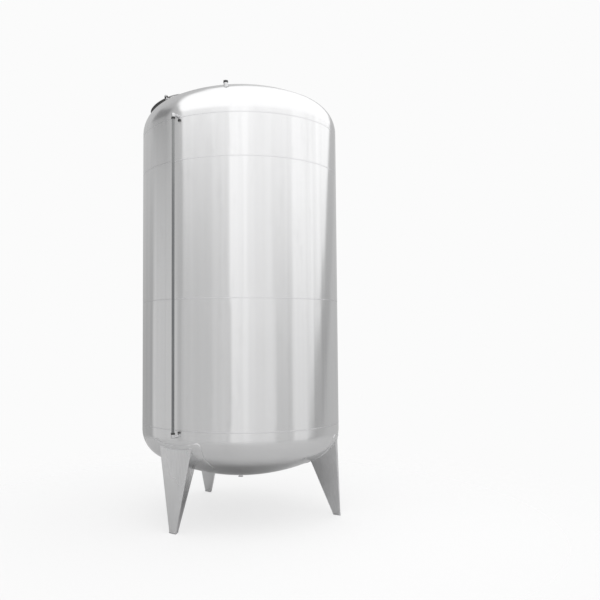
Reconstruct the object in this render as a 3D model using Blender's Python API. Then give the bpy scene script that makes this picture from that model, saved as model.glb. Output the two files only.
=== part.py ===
"""Vertical stainless steel storage tank on three tapered legs, modelled for Blender 4.5.

Metres, +Z up. The origin lies on the floor under the tank's axis. An azimuth is an angle in
degrees about that axis, counted from -Y (the front) towards +X (the right).
"""
import math

import bmesh
import bpy
import numpy as np
from mathutils import Matrix, Vector

# Finishes as (red, green, blue)
STEEL_COLOR = (0.62, 0.62, 0.63)
STEEL_ROUGHNESS = 0.12
RUBBER_COLOR = (0.02, 0.02, 0.02)
RUBBER_ROUGHNESS = 0.6
TUBE_COLOR = (0.75, 0.78, 0.78)
TUBE_ROUGHNESS = 0.15

# Tank body
TANK_RADIUS = 0.95
WALL = 0.004
CROWN_RADIUS = 1.74
KNUCKLE_RADIUS = 0.275
BOTTOM_TANGENT_Z = 0.82
TOP_TANGENT_Z = 3.67

# Heights of the four welds that run round the tank
BOTTOM_WELD_Z = 0.885
MIDDLE_WELD_Z = 2.025
UPPER_WELD_Z = 3.25
TOP_WELD_Z = 3.632

# Faceting, and the clearance between two pieces that are welded or clamped together
FACETS = 60
FACET_ANGLE = 360.0 / FACETS
KNUCKLE_STEPS = 5
CROWN_STEPS = 5
SMALL_FACETS = 12
SEAT = 0.0003

# How far cutting shapes reach past what they cut, and the distance within which points are merged
CUT_OVERRUN = 0.010
CUT_HALF_LENGTH = 0.100
ENVELOPE_RISE = 0.300
MERGE_DISTANCE = 1e-6

# Legs: straight tapers from the floor up, with sizes at the floor and their change per metre of height
LEG_AZIMUTHS = {"front_left": -42.0, "front_right": 78.0, "rear": 198.0}
LEG_FRONT_RADIUS = 0.957
LEG_FRONT_SLOPE = -0.031
LEG_BACK_RADIUS = 0.89
LEG_BACK_SLOPE = -0.42
LEG_WIDTH = 0.078
LEG_WIDTH_SLOPE = 0.415
LEG_BACK_WIDTH = 0.012
LEG_FRONT_BULGE = 0.03
LEG_ARC_STEPS = 6
LEG_BLANK_TOP_Z = 0.77
FOOT_PLATE_THICKNESS = 0.010
FOOT_PLATE_MARGIN = 0.002

# Reinforcing pads between the legs and the bottom head
PAD_THICKNESS = 0.004
PAD_HALF_ANGLE = 17.0
PAD_TOP_Z = 0.745
PAD_LOW_RADIUS = 0.62
PAD_TOP_CORNER_RADIUS = 0.05
PAD_LOW_CORNER_RADIUS = 0.22
PAD_CORNER_STEPS = 5
PAD_BLANK_MARGIN = 0.20
PAD_CUT_DEPTH = 0.40

# Manhole on the top head, square to the dome
MANHOLE_AZIMUTH = -102.0
MANHOLE_AXIS_RADIUS = 0.68
NECK_RADIUS = 0.180
NECK_INSIDE = 0.030
NECK_HEIGHT = 0.054
RIM_RADIUS = 0.200
RIM_THICKNESS = 0.006
GASKET_RADIUS = 0.206
GASKET_THICKNESS = 0.022
COVER_RADIUS = 0.210
COVER_THICKNESS = 0.005
COVER_DISH = 0.016
COVER_DISH_FOOT = 0.168
COVER_DISH_STEP = 0.6
EAR_ROOT = 0.188
EAR_REACH = 0.250
EAR_WIDTH = 0.036
EAR_HOLE_RADIUS = 0.0075
CLAMP_AXIS_RADIUS = 0.232
CLAMP_SHANK_RADIUS = 0.006
CLAMP_HEAD_RADIUS = 0.012
CLAMP_HEAD_HEIGHT = 0.009
NUT_RADIUS = 0.015
NUT_HEIGHT = 0.012
CLAMP_ANGLES = {"front": 95.0, "inner": 215.0, "rear": 335.0}
HANDLE_HALF_SPAN = 0.070
HANDLE_RISE = 0.050
HANDLE_ROD_RADIUS = 0.006
HANDLE_BEND = 0.018
HANDLE_BEND_STEPS = 3
HANDLE_FOOT_LIFT = 0.0006
HANDLE_FACETS = 8
NECK_FACETS = 48

# Tubes with ferrules: the nozzle on the top head and the drain under the bottom head
TUBE_RADIUS = 0.019
TUBE_WALL = 0.002
TUBE_INSIDE = 0.006
FERRULE_RADIUS = 0.02525
FERRULE_THICKNESS = 0.004
TUBE_FACETS = 24
NOZZLE_AZIMUTH = -12.5
NOZZLE_AXIS_RADIUS = 0.785
NOZZLE_TOP_Z = 3.960
CAP_RIM = 0.002
CAP_THICKNESS = 0.005
CAP_SKIRT = 0.014
DRAIN_END_Z = 0.335

# Level gauge over the front left leg: azimuth of a facet's middle, and a shift to one side on that flat
GAUGE_AZIMUTH = -39.0
GAUGE_LOW_Z = 0.845
GAUGE_HIGH_Z = 3.638
GAUGE_STANDOFF = 0.045
GAUGE_SHIFT = -0.011
GAUGE_TUBE_RADIUS = 0.0125
GAUGE_NIPPLE_RADIUS = 0.011
GAUGE_BLOCK_RADIUS = 0.019
GAUGE_BLOCK_LENGTH = 0.050
GAUGE_SOCKET_DEPTH = 0.014


def clear_scene():
    """Remove every object that the opened file holds."""
    for old in list(bpy.data.objects):
        bpy.data.objects.remove(old, do_unlink=True)


def make_material(name, color, roughness, metallic):
    """One Principled BSDF material for one sub-part."""
    material = bpy.data.materials.new(name)
    material.use_nodes = True
    shader = material.node_tree.nodes["Principled BSDF"]
    shader.inputs["Base Color"].default_value = (*color, 1.0)
    shader.inputs["Roughness"].default_value = roughness
    shader.inputs["Metallic"].default_value = metallic
    return material


def polished_steel(name):
    return make_material(name + "_steel", STEEL_COLOR, STEEL_ROUGHNESS, 1.0)


def black_rubber(name):
    return make_material(name + "_rubber", RUBBER_COLOR, RUBBER_ROUGHNESS, 0.0)


def add_object(name, bm, material=None, smooth_angle=30.0):
    """Turn a bmesh into a scene object with smooth faces and sharp edges."""
    bmesh.ops.remove_doubles(bm, verts=bm.verts, dist=MERGE_DISTANCE)
    bmesh.ops.recalc_face_normals(bm, faces=bm.faces)
    mesh = bpy.data.meshes.new(name)
    bm.to_mesh(mesh)
    bm.free()
    mesh.shade_smooth()
    mesh.set_sharp_from_angle(angle=math.radians(smooth_angle))
    obj = bpy.data.objects.new(name, mesh)
    bpy.context.collection.objects.link(obj)
    if material is not None:
        mesh.materials.append(material)
    return obj


def add_cutter(name, bm, place=None):
    """A hidden object that only serves a Boolean."""
    cutter = add_object(name, bm)
    if place is not None:
        cutter.matrix_world = place
    cutter.hide_render = True
    cutter.display_type = "WIRE"
    return cutter


def apply_boolean(obj, cutter, operation):
    modifier = obj.modifiers.new(operation.lower() + "_" + cutter.name, "BOOLEAN")
    modifier.operation = operation
    modifier.solver = "EXACT"
    modifier.object = cutter


def turned(profile, steps, closed=True, start=0.0, sweep=360.0):
    """Spin (radius, height) points about Z; a closed profile makes a ring, an open one ends on the axis."""
    bm = bmesh.new()
    first = Matrix.Rotation(math.radians(start), 3, "Z")
    verts = [bm.verts.new(first @ Vector((0.0, -radius, height))) for radius, height in profile]
    edges = [bm.edges.new(pair) for pair in zip(verts, verts[1:])]
    if closed:
        edges.append(bm.edges.new((verts[-1], verts[0])))
    full_turn = sweep == 360.0
    bmesh.ops.spin(
        bm, geom=verts + edges, cent=(0, 0, 0), axis=(0, 0, 1), dvec=(0, 0, 0),
        angle=math.radians(sweep), steps=steps, use_merge=full_turn, use_normal_flip=False,
        use_duplicate=False)
    bmesh.ops.remove_doubles(bm, verts=bm.verts, dist=MERGE_DISTANCE)
    if not full_turn:
        open_edges = [edge for edge in bm.edges if edge.is_boundary]
        bmesh.ops.holes_fill(bm, edges=open_edges, sides=0)
    return bm


def solid_rod(radius, bottom, top, steps):
    """A plain round rod on the Z axis."""
    return turned([(0.0, bottom), (radius, bottom), (radius, top), (0.0, top)], steps, closed=False)


def loft(rings):
    """Close a stack of equal-length rings of points into one solid."""
    bm = bmesh.new()
    rows = [[bm.verts.new(point) for point in ring] for ring in rings]
    count = len(rows[0])
    for low, high in zip(rows, rows[1:]):
        for i in range(count):
            j = (i + 1) % count
            bm.faces.new((low[i], low[j], high[j], high[i]))
    bm.faces.new(list(reversed(rows[0])))
    bm.faces.new(rows[-1])
    return bm


def box(center, size):
    bm = bmesh.new()
    bmesh.ops.create_cube(bm, size=1.0, matrix=Matrix.Translation(center) @ Matrix.Diagonal((*size, 1.0)))
    return bm


def polar(radius, azimuth, height):
    """A point from its distance to the tank's axis, its azimuth in degrees and its height."""
    angle = math.radians(azimuth)
    return Vector((radius * math.sin(angle), -radius * math.cos(angle), height))


def head_profile(offset, flange_height, low_radius=0.0):
    """Dished head, moved out by offset, from flange to pole as (radius, height over the tangent line)."""
    knuckle = KNUCKLE_RADIUS + offset
    crown = CROWN_RADIUS + offset
    knuckle_center = TANK_RADIUS - KNUCKLE_RADIUS
    crown_angle = math.asin(knuckle_center / (CROWN_RADIUS - KNUCKLE_RADIUS))
    crown_center = (CROWN_RADIUS - KNUCKLE_RADIUS) * math.cos(crown_angle)
    points = [(TANK_RADIUS + offset, -flange_height)]
    for t in np.linspace(0.0, math.pi / 2 - crown_angle, KNUCKLE_STEPS + 1):
        points.append((knuckle_center + knuckle * math.cos(t), knuckle * math.sin(t)))
    low_angle = math.asin(low_radius / crown)
    for t in np.linspace(crown_angle, low_angle, CROWN_STEPS + 1)[1:]:
        points.append((crown * math.sin(t), crown * math.cos(t) - crown_center))
    return points


def head_height(radius, offset=0.0):
    """Height of the crown's surface over the tangent line at a distance from the axis."""
    knuckle_center = TANK_RADIUS - KNUCKLE_RADIUS
    crown_center = math.sqrt((CROWN_RADIUS - KNUCKLE_RADIUS) ** 2 - knuckle_center ** 2)
    return math.sqrt((CROWN_RADIUS + offset) ** 2 - radius ** 2) - crown_center


def build_courses():
    """Three rolled plates with a weld gap between each two."""
    welds = {
        "shell_bottom_course": (BOTTOM_WELD_Z, MIDDLE_WELD_Z),
        "shell_middle_course": (MIDDLE_WELD_Z, UPPER_WELD_Z),
        "shell_top_course": (UPPER_WELD_Z, TOP_WELD_Z),
    }
    inner = TANK_RADIUS - WALL
    for name, (low, high) in welds.items():
        bottom = low + SEAT / 2
        top = high - SEAT / 2
        profile = [(TANK_RADIUS, top), (TANK_RADIUS, bottom), (inner, bottom), (inner, top)]
        add_object(name, turned(profile, FACETS), polished_steel(name))


def build_bottom_head():
    """Dished bottom with the drain's hole at its lowest point."""
    name = "bottom_head"
    flange = BOTTOM_WELD_Z - SEAT / 2 - BOTTOM_TANGENT_Z
    hole = TUBE_RADIUS + SEAT
    outer = head_profile(0.0, flange, hole)
    inner = head_profile(-WALL, flange, hole)
    profile = [(radius, BOTTOM_TANGENT_Z - height) for radius, height in outer + inner[::-1]]
    add_object(name, turned(profile, FACETS), polished_steel(name))


def manhole_place():
    """Frame on the dome's surface with +Z square to it and +X down the slope, away from the tank's axis."""
    foot = polar(MANHOLE_AXIS_RADIUS, MANHOLE_AZIMUTH, TOP_TANGENT_Z + head_height(MANHOLE_AXIS_RADIUS))
    tilt = math.asin(MANHOLE_AXIS_RADIUS / CROWN_RADIUS)
    turn = math.radians(MANHOLE_AZIMUTH) - math.pi / 2
    return Matrix.Translation(foot) @ Matrix.Rotation(turn, 4, "Z") @ Matrix.Rotation(tilt, 4, "Y")


def build_top_head():
    """Dished top with holes for the manhole's neck and the nozzle."""
    name = "top_head"
    flange = TOP_TANGENT_Z - TOP_WELD_Z - SEAT / 2
    outer = head_profile(0.0, flange)
    inner = head_profile(-WALL, flange)
    profile = [(radius, TOP_TANGENT_Z + height) for radius, height in inner[::-1] + outer]
    head = add_object(name, turned(profile, FACETS, closed=False), polished_steel(name))

    neck_hole = solid_rod(NECK_RADIUS + SEAT, -CUT_HALF_LENGTH, CUT_HALF_LENGTH, NECK_FACETS)
    apply_boolean(head, add_cutter("cut_manhole", neck_hole, manhole_place()), "DIFFERENCE")

    tube_hole = solid_rod(TUBE_RADIUS + SEAT, -CUT_HALF_LENGTH, CUT_HALF_LENGTH, TUBE_FACETS)
    foot = polar(NOZZLE_AXIS_RADIUS, NOZZLE_AZIMUTH, TOP_TANGENT_Z + head_height(NOZZLE_AXIS_RADIUS))
    apply_boolean(head, add_cutter("cut_nozzle", tube_hole, Matrix.Translation(foot)), "DIFFERENCE")


def leg_ring(height, margin=0.0):
    """Outline of a leg at one height, in the leg's own axes: X sideways, Y away from the tank."""
    front = LEG_FRONT_RADIUS + LEG_FRONT_SLOPE * height + margin
    back = LEG_BACK_RADIUS + LEG_BACK_SLOPE * height - margin
    width = LEG_WIDTH + LEG_WIDTH_SLOPE * height + 2 * margin
    bulge = LEG_FRONT_BULGE * width
    arc_radius = bulge / 2 + width ** 2 / (8 * bulge)
    half_angle = math.asin(width / 2 / arc_radius)
    points = []
    for t in np.linspace(-half_angle, half_angle, LEG_ARC_STEPS + 1):
        points.append(Vector((arc_radius * math.sin(t), front - arc_radius * (1 - math.cos(t)), height)))
    half_back = LEG_BACK_WIDTH / 2 + margin
    points.append(Vector((half_back, back, height)))
    points.append(Vector((-half_back, back, height)))
    return points


def to_azimuth(points, azimuth):
    """Turn points from a leg's own axes to the leg's place round the tank."""
    turn = Matrix.Rotation(math.radians(azimuth + 180.0), 3, "Z")
    return [turn @ point for point in points]


def head_envelope(offset):
    """Solid that fills the bottom head and everything above it, grown outwards by offset."""
    outline = head_profile(offset, ENVELOPE_RISE)
    points = [(0.0, BOTTOM_TANGENT_Z + ENVELOPE_RISE)]
    points += [(radius, BOTTOM_TANGENT_Z - height) for radius, height in outline]
    return turned(points, FACETS, closed=False)


def build_legs():
    """Tapered three-sided legs, cut to the pads they are welded to, each on its own foot plate."""
    envelope = add_cutter("cut_legs", head_envelope(2 * SEAT + PAD_THICKNESS))
    for side, azimuth in LEG_AZIMUTHS.items():
        name = side + "_leg"
        rings = [leg_ring(FOOT_PLATE_THICKNESS + SEAT), leg_ring(LEG_BLANK_TOP_Z)]
        leg = add_object(name, loft([to_azimuth(ring, azimuth) for ring in rings]), polished_steel(name))
        apply_boolean(leg, envelope, "DIFFERENCE")

        name = side + "_foot_plate"
        outline = leg_ring(0.0, FOOT_PLATE_MARGIN)
        lifted = [point + Vector((0, 0, FOOT_PLATE_THICKNESS)) for point in outline]
        rings = [to_azimuth(outline, azimuth), to_azimuth(lifted, azimuth)]
        add_object(name, loft(rings), polished_steel(name))


def rounded_outline(width, height, top_corner, low_corner, steps):
    """Counter-clockwise outline of a plate, centred on the origin, with two sizes of round corner."""
    points = []
    for quarter, (sx, sy) in enumerate(((1, 1), (-1, 1), (-1, -1), (1, -1))):
        corner = top_corner if sy > 0 else low_corner
        center = (sx * (width / 2 - corner), sy * (height / 2 - corner))
        for t in np.linspace(0.0, math.pi / 2, steps + 1) + quarter * math.pi / 2:
            points.append((center[0] + corner * math.cos(t), center[1] + corner * math.sin(t)))
    return points


def build_pads():
    """Doubler plates that follow the bottom head, with rounded corners."""
    low_height = head_height(PAD_LOW_RADIUS)
    top = polar(TANK_RADIUS, 0.0, PAD_TOP_Z)
    bottom = polar(PAD_LOW_RADIUS, 0.0, BOTTOM_TANGENT_Z - low_height)
    middle = (top + bottom) / 2
    up = (top - bottom).normalized()
    side = Vector((1.0, 0.0, 0.0))
    outward = side.cross(up)
    length = (top - bottom).length
    width = 2 * TANK_RADIUS * math.sin(math.radians(PAD_HALF_ANGLE))
    outline = rounded_outline(
        width, length, PAD_TOP_CORNER_RADIUS, PAD_LOW_CORNER_RADIUS, PAD_CORNER_STEPS)
    rings = []
    for depth in (-PAD_CUT_DEPTH, PAD_CUT_DEPTH):
        rings.append([middle + side * u + up * v + outward * depth for u, v in outline])

    near = head_profile(SEAT, 0.0)
    far = head_profile(SEAT + PAD_THICKNESS, 0.0)
    skin = [(radius, BOTTOM_TANGENT_Z - height) for radius, height in far + near[::-1]]
    skin = [point for point in skin if point[0] > PAD_LOW_RADIUS - PAD_BLANK_MARGIN]
    half_steps = math.ceil(PAD_HALF_ANGLE / FACET_ANGLE) + 1
    sweep = 2 * half_steps * FACET_ANGLE
    for leg_side, azimuth in LEG_AZIMUTHS.items():
        name = leg_side + "_leg_pad"
        start = azimuth - sweep / 2
        blank = turned(skin, 2 * half_steps, start=start, sweep=sweep)
        pad = add_object(name, blank, polished_steel(name))
        turn = Matrix.Rotation(math.radians(azimuth), 3, "Z")
        window = loft([[turn @ point for point in ring] for ring in rings])
        apply_boolean(pad, add_cutter("cut_" + name, window), "INTERSECT")


def dish_middle():
    """Radius and rise of the one ring between the cover's flat border and the middle of its dish."""
    return COVER_DISH_STEP * COVER_DISH_FOOT, (1.0 - COVER_DISH_STEP ** 2) * COVER_DISH


def build_manhole():
    """Neck through the dome, rubber gasket, dished cover and three bolts through paired ears."""
    place = manhole_place()
    rim_low = NECK_HEIGHT - RIM_THICKNESS
    gasket_low = NECK_HEIGHT + SEAT
    gasket_high = gasket_low + GASKET_THICKNESS
    cover_low = gasket_high + SEAT
    cover_high = cover_low + COVER_THICKNESS
    ear_middle = (EAR_ROOT + EAR_REACH) / 2
    ear_length = EAR_REACH - EAR_ROOT

    def add_ears(obj, low, high):
        """Fuse one drilled ear for each clamp to the rim between two heights."""
        for side, angle in CLAMP_ANGLES.items():
            turn = place @ Matrix.Rotation(math.radians(angle), 4, "Z")
            ear = box((ear_middle, 0.0, (low + high) / 2), (ear_length, EAR_WIDTH, high - low))
            apply_boolean(obj, add_cutter("ear_" + side + "_of_" + obj.name, ear, turn), "UNION")
        for side, angle in CLAMP_ANGLES.items():
            turn = place @ Matrix.Rotation(math.radians(angle), 4, "Z")
            drill = solid_rod(EAR_HOLE_RADIUS, low - CUT_OVERRUN, high + CUT_OVERRUN, SMALL_FACETS)
            shifted = turn @ Matrix.Translation((CLAMP_AXIS_RADIUS, 0.0, 0.0))
            apply_boolean(obj, add_cutter("drill_" + side + "_of_" + obj.name, drill, shifted), "DIFFERENCE")

    name = "manhole_neck"
    inner = NECK_RADIUS - WALL
    profile = [
        (RIM_RADIUS, NECK_HEIGHT), (RIM_RADIUS, rim_low), (NECK_RADIUS, rim_low),
        (NECK_RADIUS, -NECK_INSIDE), (inner, -NECK_INSIDE), (inner, NECK_HEIGHT)]
    neck = add_object(name, turned(profile, NECK_FACETS), polished_steel(name))
    neck.matrix_world = place
    add_ears(neck, rim_low, NECK_HEIGHT)

    name = "manhole_gasket"
    profile = [
        (GASKET_RADIUS, gasket_high), (GASKET_RADIUS, gasket_low), (inner, gasket_low), (inner, gasket_high)]
    gasket = add_object(name, turned(profile, NECK_FACETS), black_rubber(name))
    gasket.matrix_world = place

    name = "manhole_cover"
    middle_radius, middle_rise = dish_middle()
    profile = [
        (0.0, cover_low + COVER_DISH), (middle_radius, cover_low + middle_rise), (COVER_DISH_FOOT, cover_low),
        (COVER_RADIUS, cover_low), (COVER_RADIUS, cover_high), (COVER_DISH_FOOT, cover_high),
        (middle_radius, cover_high + middle_rise), (0.0, cover_high + COVER_DISH)]
    cover = add_object(name, turned(profile, NECK_FACETS, closed=False), polished_steel(name))
    cover.matrix_world = place
    add_ears(cover, cover_low, cover_high)

    shank_low = rim_low - SEAT
    nut_low = cover_high + SEAT
    profile = [
        (0.0, shank_low - CLAMP_HEAD_HEIGHT), (CLAMP_HEAD_RADIUS, shank_low - CLAMP_HEAD_HEIGHT),
        (CLAMP_HEAD_RADIUS, shank_low), (CLAMP_SHANK_RADIUS, shank_low), (CLAMP_SHANK_RADIUS, nut_low),
        (NUT_RADIUS, nut_low), (NUT_RADIUS, nut_low + NUT_HEIGHT), (0.0, nut_low + NUT_HEIGHT)]
    for side, angle in CLAMP_ANGLES.items():
        name = "manhole_clamp_" + side
        clamp = add_object(name, turned(profile, SMALL_FACETS, closed=False), polished_steel(name))
        turn = Matrix.Rotation(math.radians(angle), 4, "Z")
        clamp.matrix_world = place @ turn @ Matrix.Translation((CLAMP_AXIS_RADIUS, 0.0, 0.0))

    build_handle(place, cover_high)


def build_handle(place, cover_high):
    """Bent rod on the manhole's cover, with its two feet on the dished face."""
    name = "manhole_handle"
    middle_radius, middle_rise = dish_middle()
    slope = (COVER_DISH - middle_rise) / middle_radius
    foot_height = cover_high + COVER_DISH - slope * HANDLE_HALF_SPAN
    low = foot_height + SEAT + HANDLE_FOOT_LIFT
    high = low + HANDLE_RISE
    route = [Vector((0, -HANDLE_HALF_SPAN, low))]
    for t in np.linspace(0.0, math.pi / 2, HANDLE_BEND_STEPS + 1):
        sideways = -HANDLE_HALF_SPAN + HANDLE_BEND * (1 - math.cos(t))
        route.append(Vector((0, sideways, high - HANDLE_BEND * (1 - math.sin(t)))))
    route += [Vector((0, -point.y, point.z)) for point in reversed(route)]
    rings = []
    for i, point in enumerate(route):
        before = route[max(i - 1, 0)]
        after = route[min(i + 1, len(route) - 1)]
        along = (after - before).normalized()
        side = Vector((1.0, 0.0, 0.0))
        across = along.cross(side)
        ring = []
        for k in range(HANDLE_FACETS):
            turn = 2 * math.pi * k / HANDLE_FACETS
            offset = side * math.cos(turn) + across * math.sin(turn)
            ring.append(point + offset * HANDLE_ROD_RADIUS)
        rings.append(ring)
    handle = add_object(name, loft(rings), polished_steel(name), smooth_angle=50.0)
    handle.matrix_world = place


def build_nozzle():
    """Short upright tube on the dome's front, closed by a dark push-on cap."""
    foot = polar(NOZZLE_AXIS_RADIUS, NOZZLE_AZIMUTH, 0.0)
    foot_z = TOP_TANGENT_Z + head_height(NOZZLE_AXIS_RADIUS + TUBE_RADIUS) - WALL - TUBE_INSIDE
    inner = TUBE_RADIUS - TUBE_WALL
    name = "top_nozzle"
    profile = [(TUBE_RADIUS, NOZZLE_TOP_Z), (TUBE_RADIUS, foot_z), (inner, foot_z), (inner, NOZZLE_TOP_Z)]
    nozzle = add_object(name, turned(profile, TUBE_FACETS), polished_steel(name))
    nozzle.location = foot

    name = "top_nozzle_cap"
    under = NOZZLE_TOP_Z + SEAT
    top = under + CAP_THICKNESS
    skirt = NOZZLE_TOP_Z - CAP_SKIRT
    inside = TUBE_RADIUS + SEAT
    outside = inside + CAP_RIM
    profile = [(0.0, under), (inside, under), (inside, skirt), (outside, skirt), (outside, top), (0.0, top)]
    cap = add_object(name, turned(profile, TUBE_FACETS, closed=False), black_rubber(name))
    cap.location = foot


def build_drain():
    """Tube through the bottom head's lowest point, with a ferrule at its open end."""
    name = "drain_nozzle"
    top = BOTTOM_TANGENT_Z - head_height(0.0) + WALL + TUBE_INSIDE
    inner = TUBE_RADIUS - TUBE_WALL
    ferrule_high = DRAIN_END_Z + FERRULE_THICKNESS
    profile = [
        (TUBE_RADIUS, top), (TUBE_RADIUS, ferrule_high), (FERRULE_RADIUS, ferrule_high),
        (FERRULE_RADIUS, DRAIN_END_Z), (inner, DRAIN_END_Z), (inner, top)]
    add_object(name, turned(profile, TUBE_FACETS), polished_steel(name))


def build_level_gauge():
    """Sight tube between two fittings whose nipples end on the flat of one facet."""
    flat = TANK_RADIUS * math.cos(math.radians(FACET_ANGLE / 2)) + SEAT
    axis_radius = flat + GAUGE_STANDOFF
    turn = Matrix.Rotation(math.radians(GAUGE_AZIMUTH), 4, "Z")
    sockets = {}
    for side, height, inward in (("bottom", GAUGE_LOW_Z, 1.0), ("top", GAUGE_HIGH_Z, -1.0)):
        name = "level_gauge_" + side + "_fitting"
        seat = GAUGE_BLOCK_LENGTH / 2 - GAUGE_SOCKET_DEPTH
        bore = GAUGE_TUBE_RADIUS + SEAT
        block = [
            (0.0, -GAUGE_BLOCK_LENGTH / 2), (GAUGE_BLOCK_RADIUS, -GAUGE_BLOCK_LENGTH / 2),
            (GAUGE_BLOCK_RADIUS, GAUGE_BLOCK_LENGTH / 2), (bore, GAUGE_BLOCK_LENGTH / 2),
            (bore, seat), (0.0, seat)]
        block = [(radius, inward * z) for radius, z in block]
        fitting = add_object(name, turned(block, SMALL_FACETS, closed=False), polished_steel(name))
        fitting.matrix_world = turn @ Matrix.Translation((GAUGE_SHIFT, -axis_radius, height))
        nipple = solid_rod(GAUGE_NIPPLE_RADIUS, 0.0, GAUGE_STANDOFF - bore, SMALL_FACETS)
        lie_down = Matrix.Translation((GAUGE_SHIFT, -flat, height)) @ Matrix.Rotation(math.pi / 2, 4, "X")
        lower = Matrix.Translation((0.0, 0.0, -inward * GAUGE_BLOCK_LENGTH / 4))
        apply_boolean(fitting, add_cutter("nipple_of_" + name, nipple, turn @ lower @ lie_down), "UNION")
        sockets[side] = height + inward * (seat + SEAT)

    name = "level_gauge_tube"
    tube_material = make_material(name + "_plastic", TUBE_COLOR, TUBE_ROUGHNESS, 0.0)
    tube = add_object(
        name, solid_rod(GAUGE_TUBE_RADIUS, sockets["bottom"], sockets["top"], SMALL_FACETS), tube_material)
    tube.matrix_world = turn @ Matrix.Translation((GAUGE_SHIFT, -axis_radius, 0.0))


clear_scene()
build_courses()
build_bottom_head()
build_top_head()
build_legs()
build_pads()
build_manhole()
build_nozzle()
build_drain()
build_level_gauge()
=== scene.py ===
"""Looks of the vertical storage tank: mirror polished stainless steel on three folded legs.

Metres, +Z up, with the origin on the floor under the tank's axis. Azimuths are angles about that
axis in radians, counted from -Y (the front) towards +X (the right).
"""
import math

import bmesh
import bpy
import numpy as np
from mathutils import Matrix, Vector


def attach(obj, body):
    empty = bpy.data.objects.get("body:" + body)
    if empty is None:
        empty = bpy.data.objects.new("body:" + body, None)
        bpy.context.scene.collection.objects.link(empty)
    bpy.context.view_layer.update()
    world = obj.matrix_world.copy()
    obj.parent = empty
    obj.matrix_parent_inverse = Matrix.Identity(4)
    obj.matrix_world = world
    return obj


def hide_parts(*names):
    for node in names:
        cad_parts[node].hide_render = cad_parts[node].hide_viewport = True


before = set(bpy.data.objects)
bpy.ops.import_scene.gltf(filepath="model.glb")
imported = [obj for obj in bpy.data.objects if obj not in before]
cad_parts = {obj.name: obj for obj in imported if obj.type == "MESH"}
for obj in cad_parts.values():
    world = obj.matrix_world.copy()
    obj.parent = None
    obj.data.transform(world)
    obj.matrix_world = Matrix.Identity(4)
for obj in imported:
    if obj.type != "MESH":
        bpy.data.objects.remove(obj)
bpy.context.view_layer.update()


# Camera
# Stands at eye height seven metres off, a little to the left of the front, and looks slightly up.
# The frame is shifted sideways, because the photograph has the tank left of its middle.
eye_azimuth = math.radians(-3.8)
eye_distance = 6.758
eye_height = 1.6986
eye_pitch = 0.0526
eye_roll = -0.0041
focal_pixels = 685.8
frame_pixels = 600.0
sensor_width = 36.0
axis_pixel = 240.0


def eye_matrix():
    """Right, up and backward as columns, with the eye's place in the last one."""
    level = np.array([-math.sin(eye_azimuth), math.cos(eye_azimuth), 0.0])
    ahead = math.cos(eye_pitch) * level + np.array([0.0, 0.0, math.sin(eye_pitch)])
    right = np.array([math.cos(eye_azimuth), math.sin(eye_azimuth), 0.0])
    up = np.cross(right, ahead)
    rolled_right = math.cos(eye_roll) * right + math.sin(eye_roll) * up
    rolled_up = math.cos(eye_roll) * up - math.sin(eye_roll) * right
    matrix = np.eye(4)
    matrix[:3, 0] = rolled_right
    matrix[:3, 1] = rolled_up
    matrix[:3, 2] = -ahead
    matrix[:3, 3] = (-eye_distance * level[0], -eye_distance * level[1], eye_height)
    return Matrix(matrix.tolist())


camera_data = bpy.data.cameras.new("camera")
camera_data.sensor_width = sensor_width
camera_data.lens = focal_pixels * sensor_width / frame_pixels
camera_data.shift_x = 0.5 - axis_pixel / frame_pixels
camera_data.clip_start = 0.05
camera_data.clip_end = 200.0
camera = bpy.data.objects.new("camera", camera_data)
camera.matrix_world = eye_matrix()
bpy.context.collection.objects.link(camera)
bpy.context.scene.camera = camera
bpy.context.scene.view_settings.view_transform = "Standard"


# Studio
# A pale hall that the polished steel mirrors: bright in front, on the right and overhead, grey on
# the left and behind. The camera itself sees only a plain near-white backdrop. Here azimuths are in
# degrees, and a height is the sine of the angle over the horizon, both as seen from the tank.
backdrop_white = 0.965
sky_white = 1.2
# Wall panels from behind round the left, the front and the right to behind again: right edge,
# brightness at the foot and brightness at the head
hall_panels = [
    (-124.0, 0.40, 0.56),
    (-80.0, 0.60, 0.49),
    (-73.0, 0.48, 0.54),
    (-36.0, 0.57, 0.85),
    (-15.0, 0.63, 0.91),
    (7.0, 0.81, 1.13),
    (36.0, 0.73, 1.02),
    (58.0, 0.55, 1.03),
    (96.0, 0.75, 1.16),
    (120.0, 0.37, 0.55),
    (180.0, 0.50, 0.58)]
panel_edge = 1.5
wall_foot = -0.12
wall_head = 0.35
wall_end_lean = 115.0
wall_end_start = 60.0
wall_end_full = 90.0
left_foot_rise = 0.17
left_rise_start = -135.0
left_rise_full = -120.0
left_rise_fall = -20.0
left_rise_end = -14.0
strips_per_radian = 9.0
strip_contrast = 0.24
gate_opening = [(-132.0, 0.0), (-128.0, 1.0), (-98.0, 1.0), (-93.0, 0.0)]
gate_sill = 0.29
gate_sill_blur = 0.05
gate_lintel = 0.63
gate_lintel_blur = 0.08
gate_darkness = 0.5
# The height of the eaves by azimuth, and how far under and over them the sky sets in
eaves_line = [
    (-180.0, 0.82), (-150.0, 0.92), (-113.0, 0.83), (-89.0, 0.67), (-78.0, 0.48), (-73.0, 0.37),
    (120.0, 0.385), (150.0, 0.47), (180.0, 0.82)]
sky_under_eaves = 0.09
sky_over_eaves = 0.02


def add_node(tree, kind, place=(0, 0), **values):
    """A new node with its sockets set by name, spaces written as underscores."""
    node = tree.nodes.new(kind)
    node.location = place
    for key, value in values.items():
        socket = node.inputs.get(key.replace("_", " "))
        if socket is not None:
            socket.default_value = value
        else:
            setattr(node, key, value)
    return node


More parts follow.
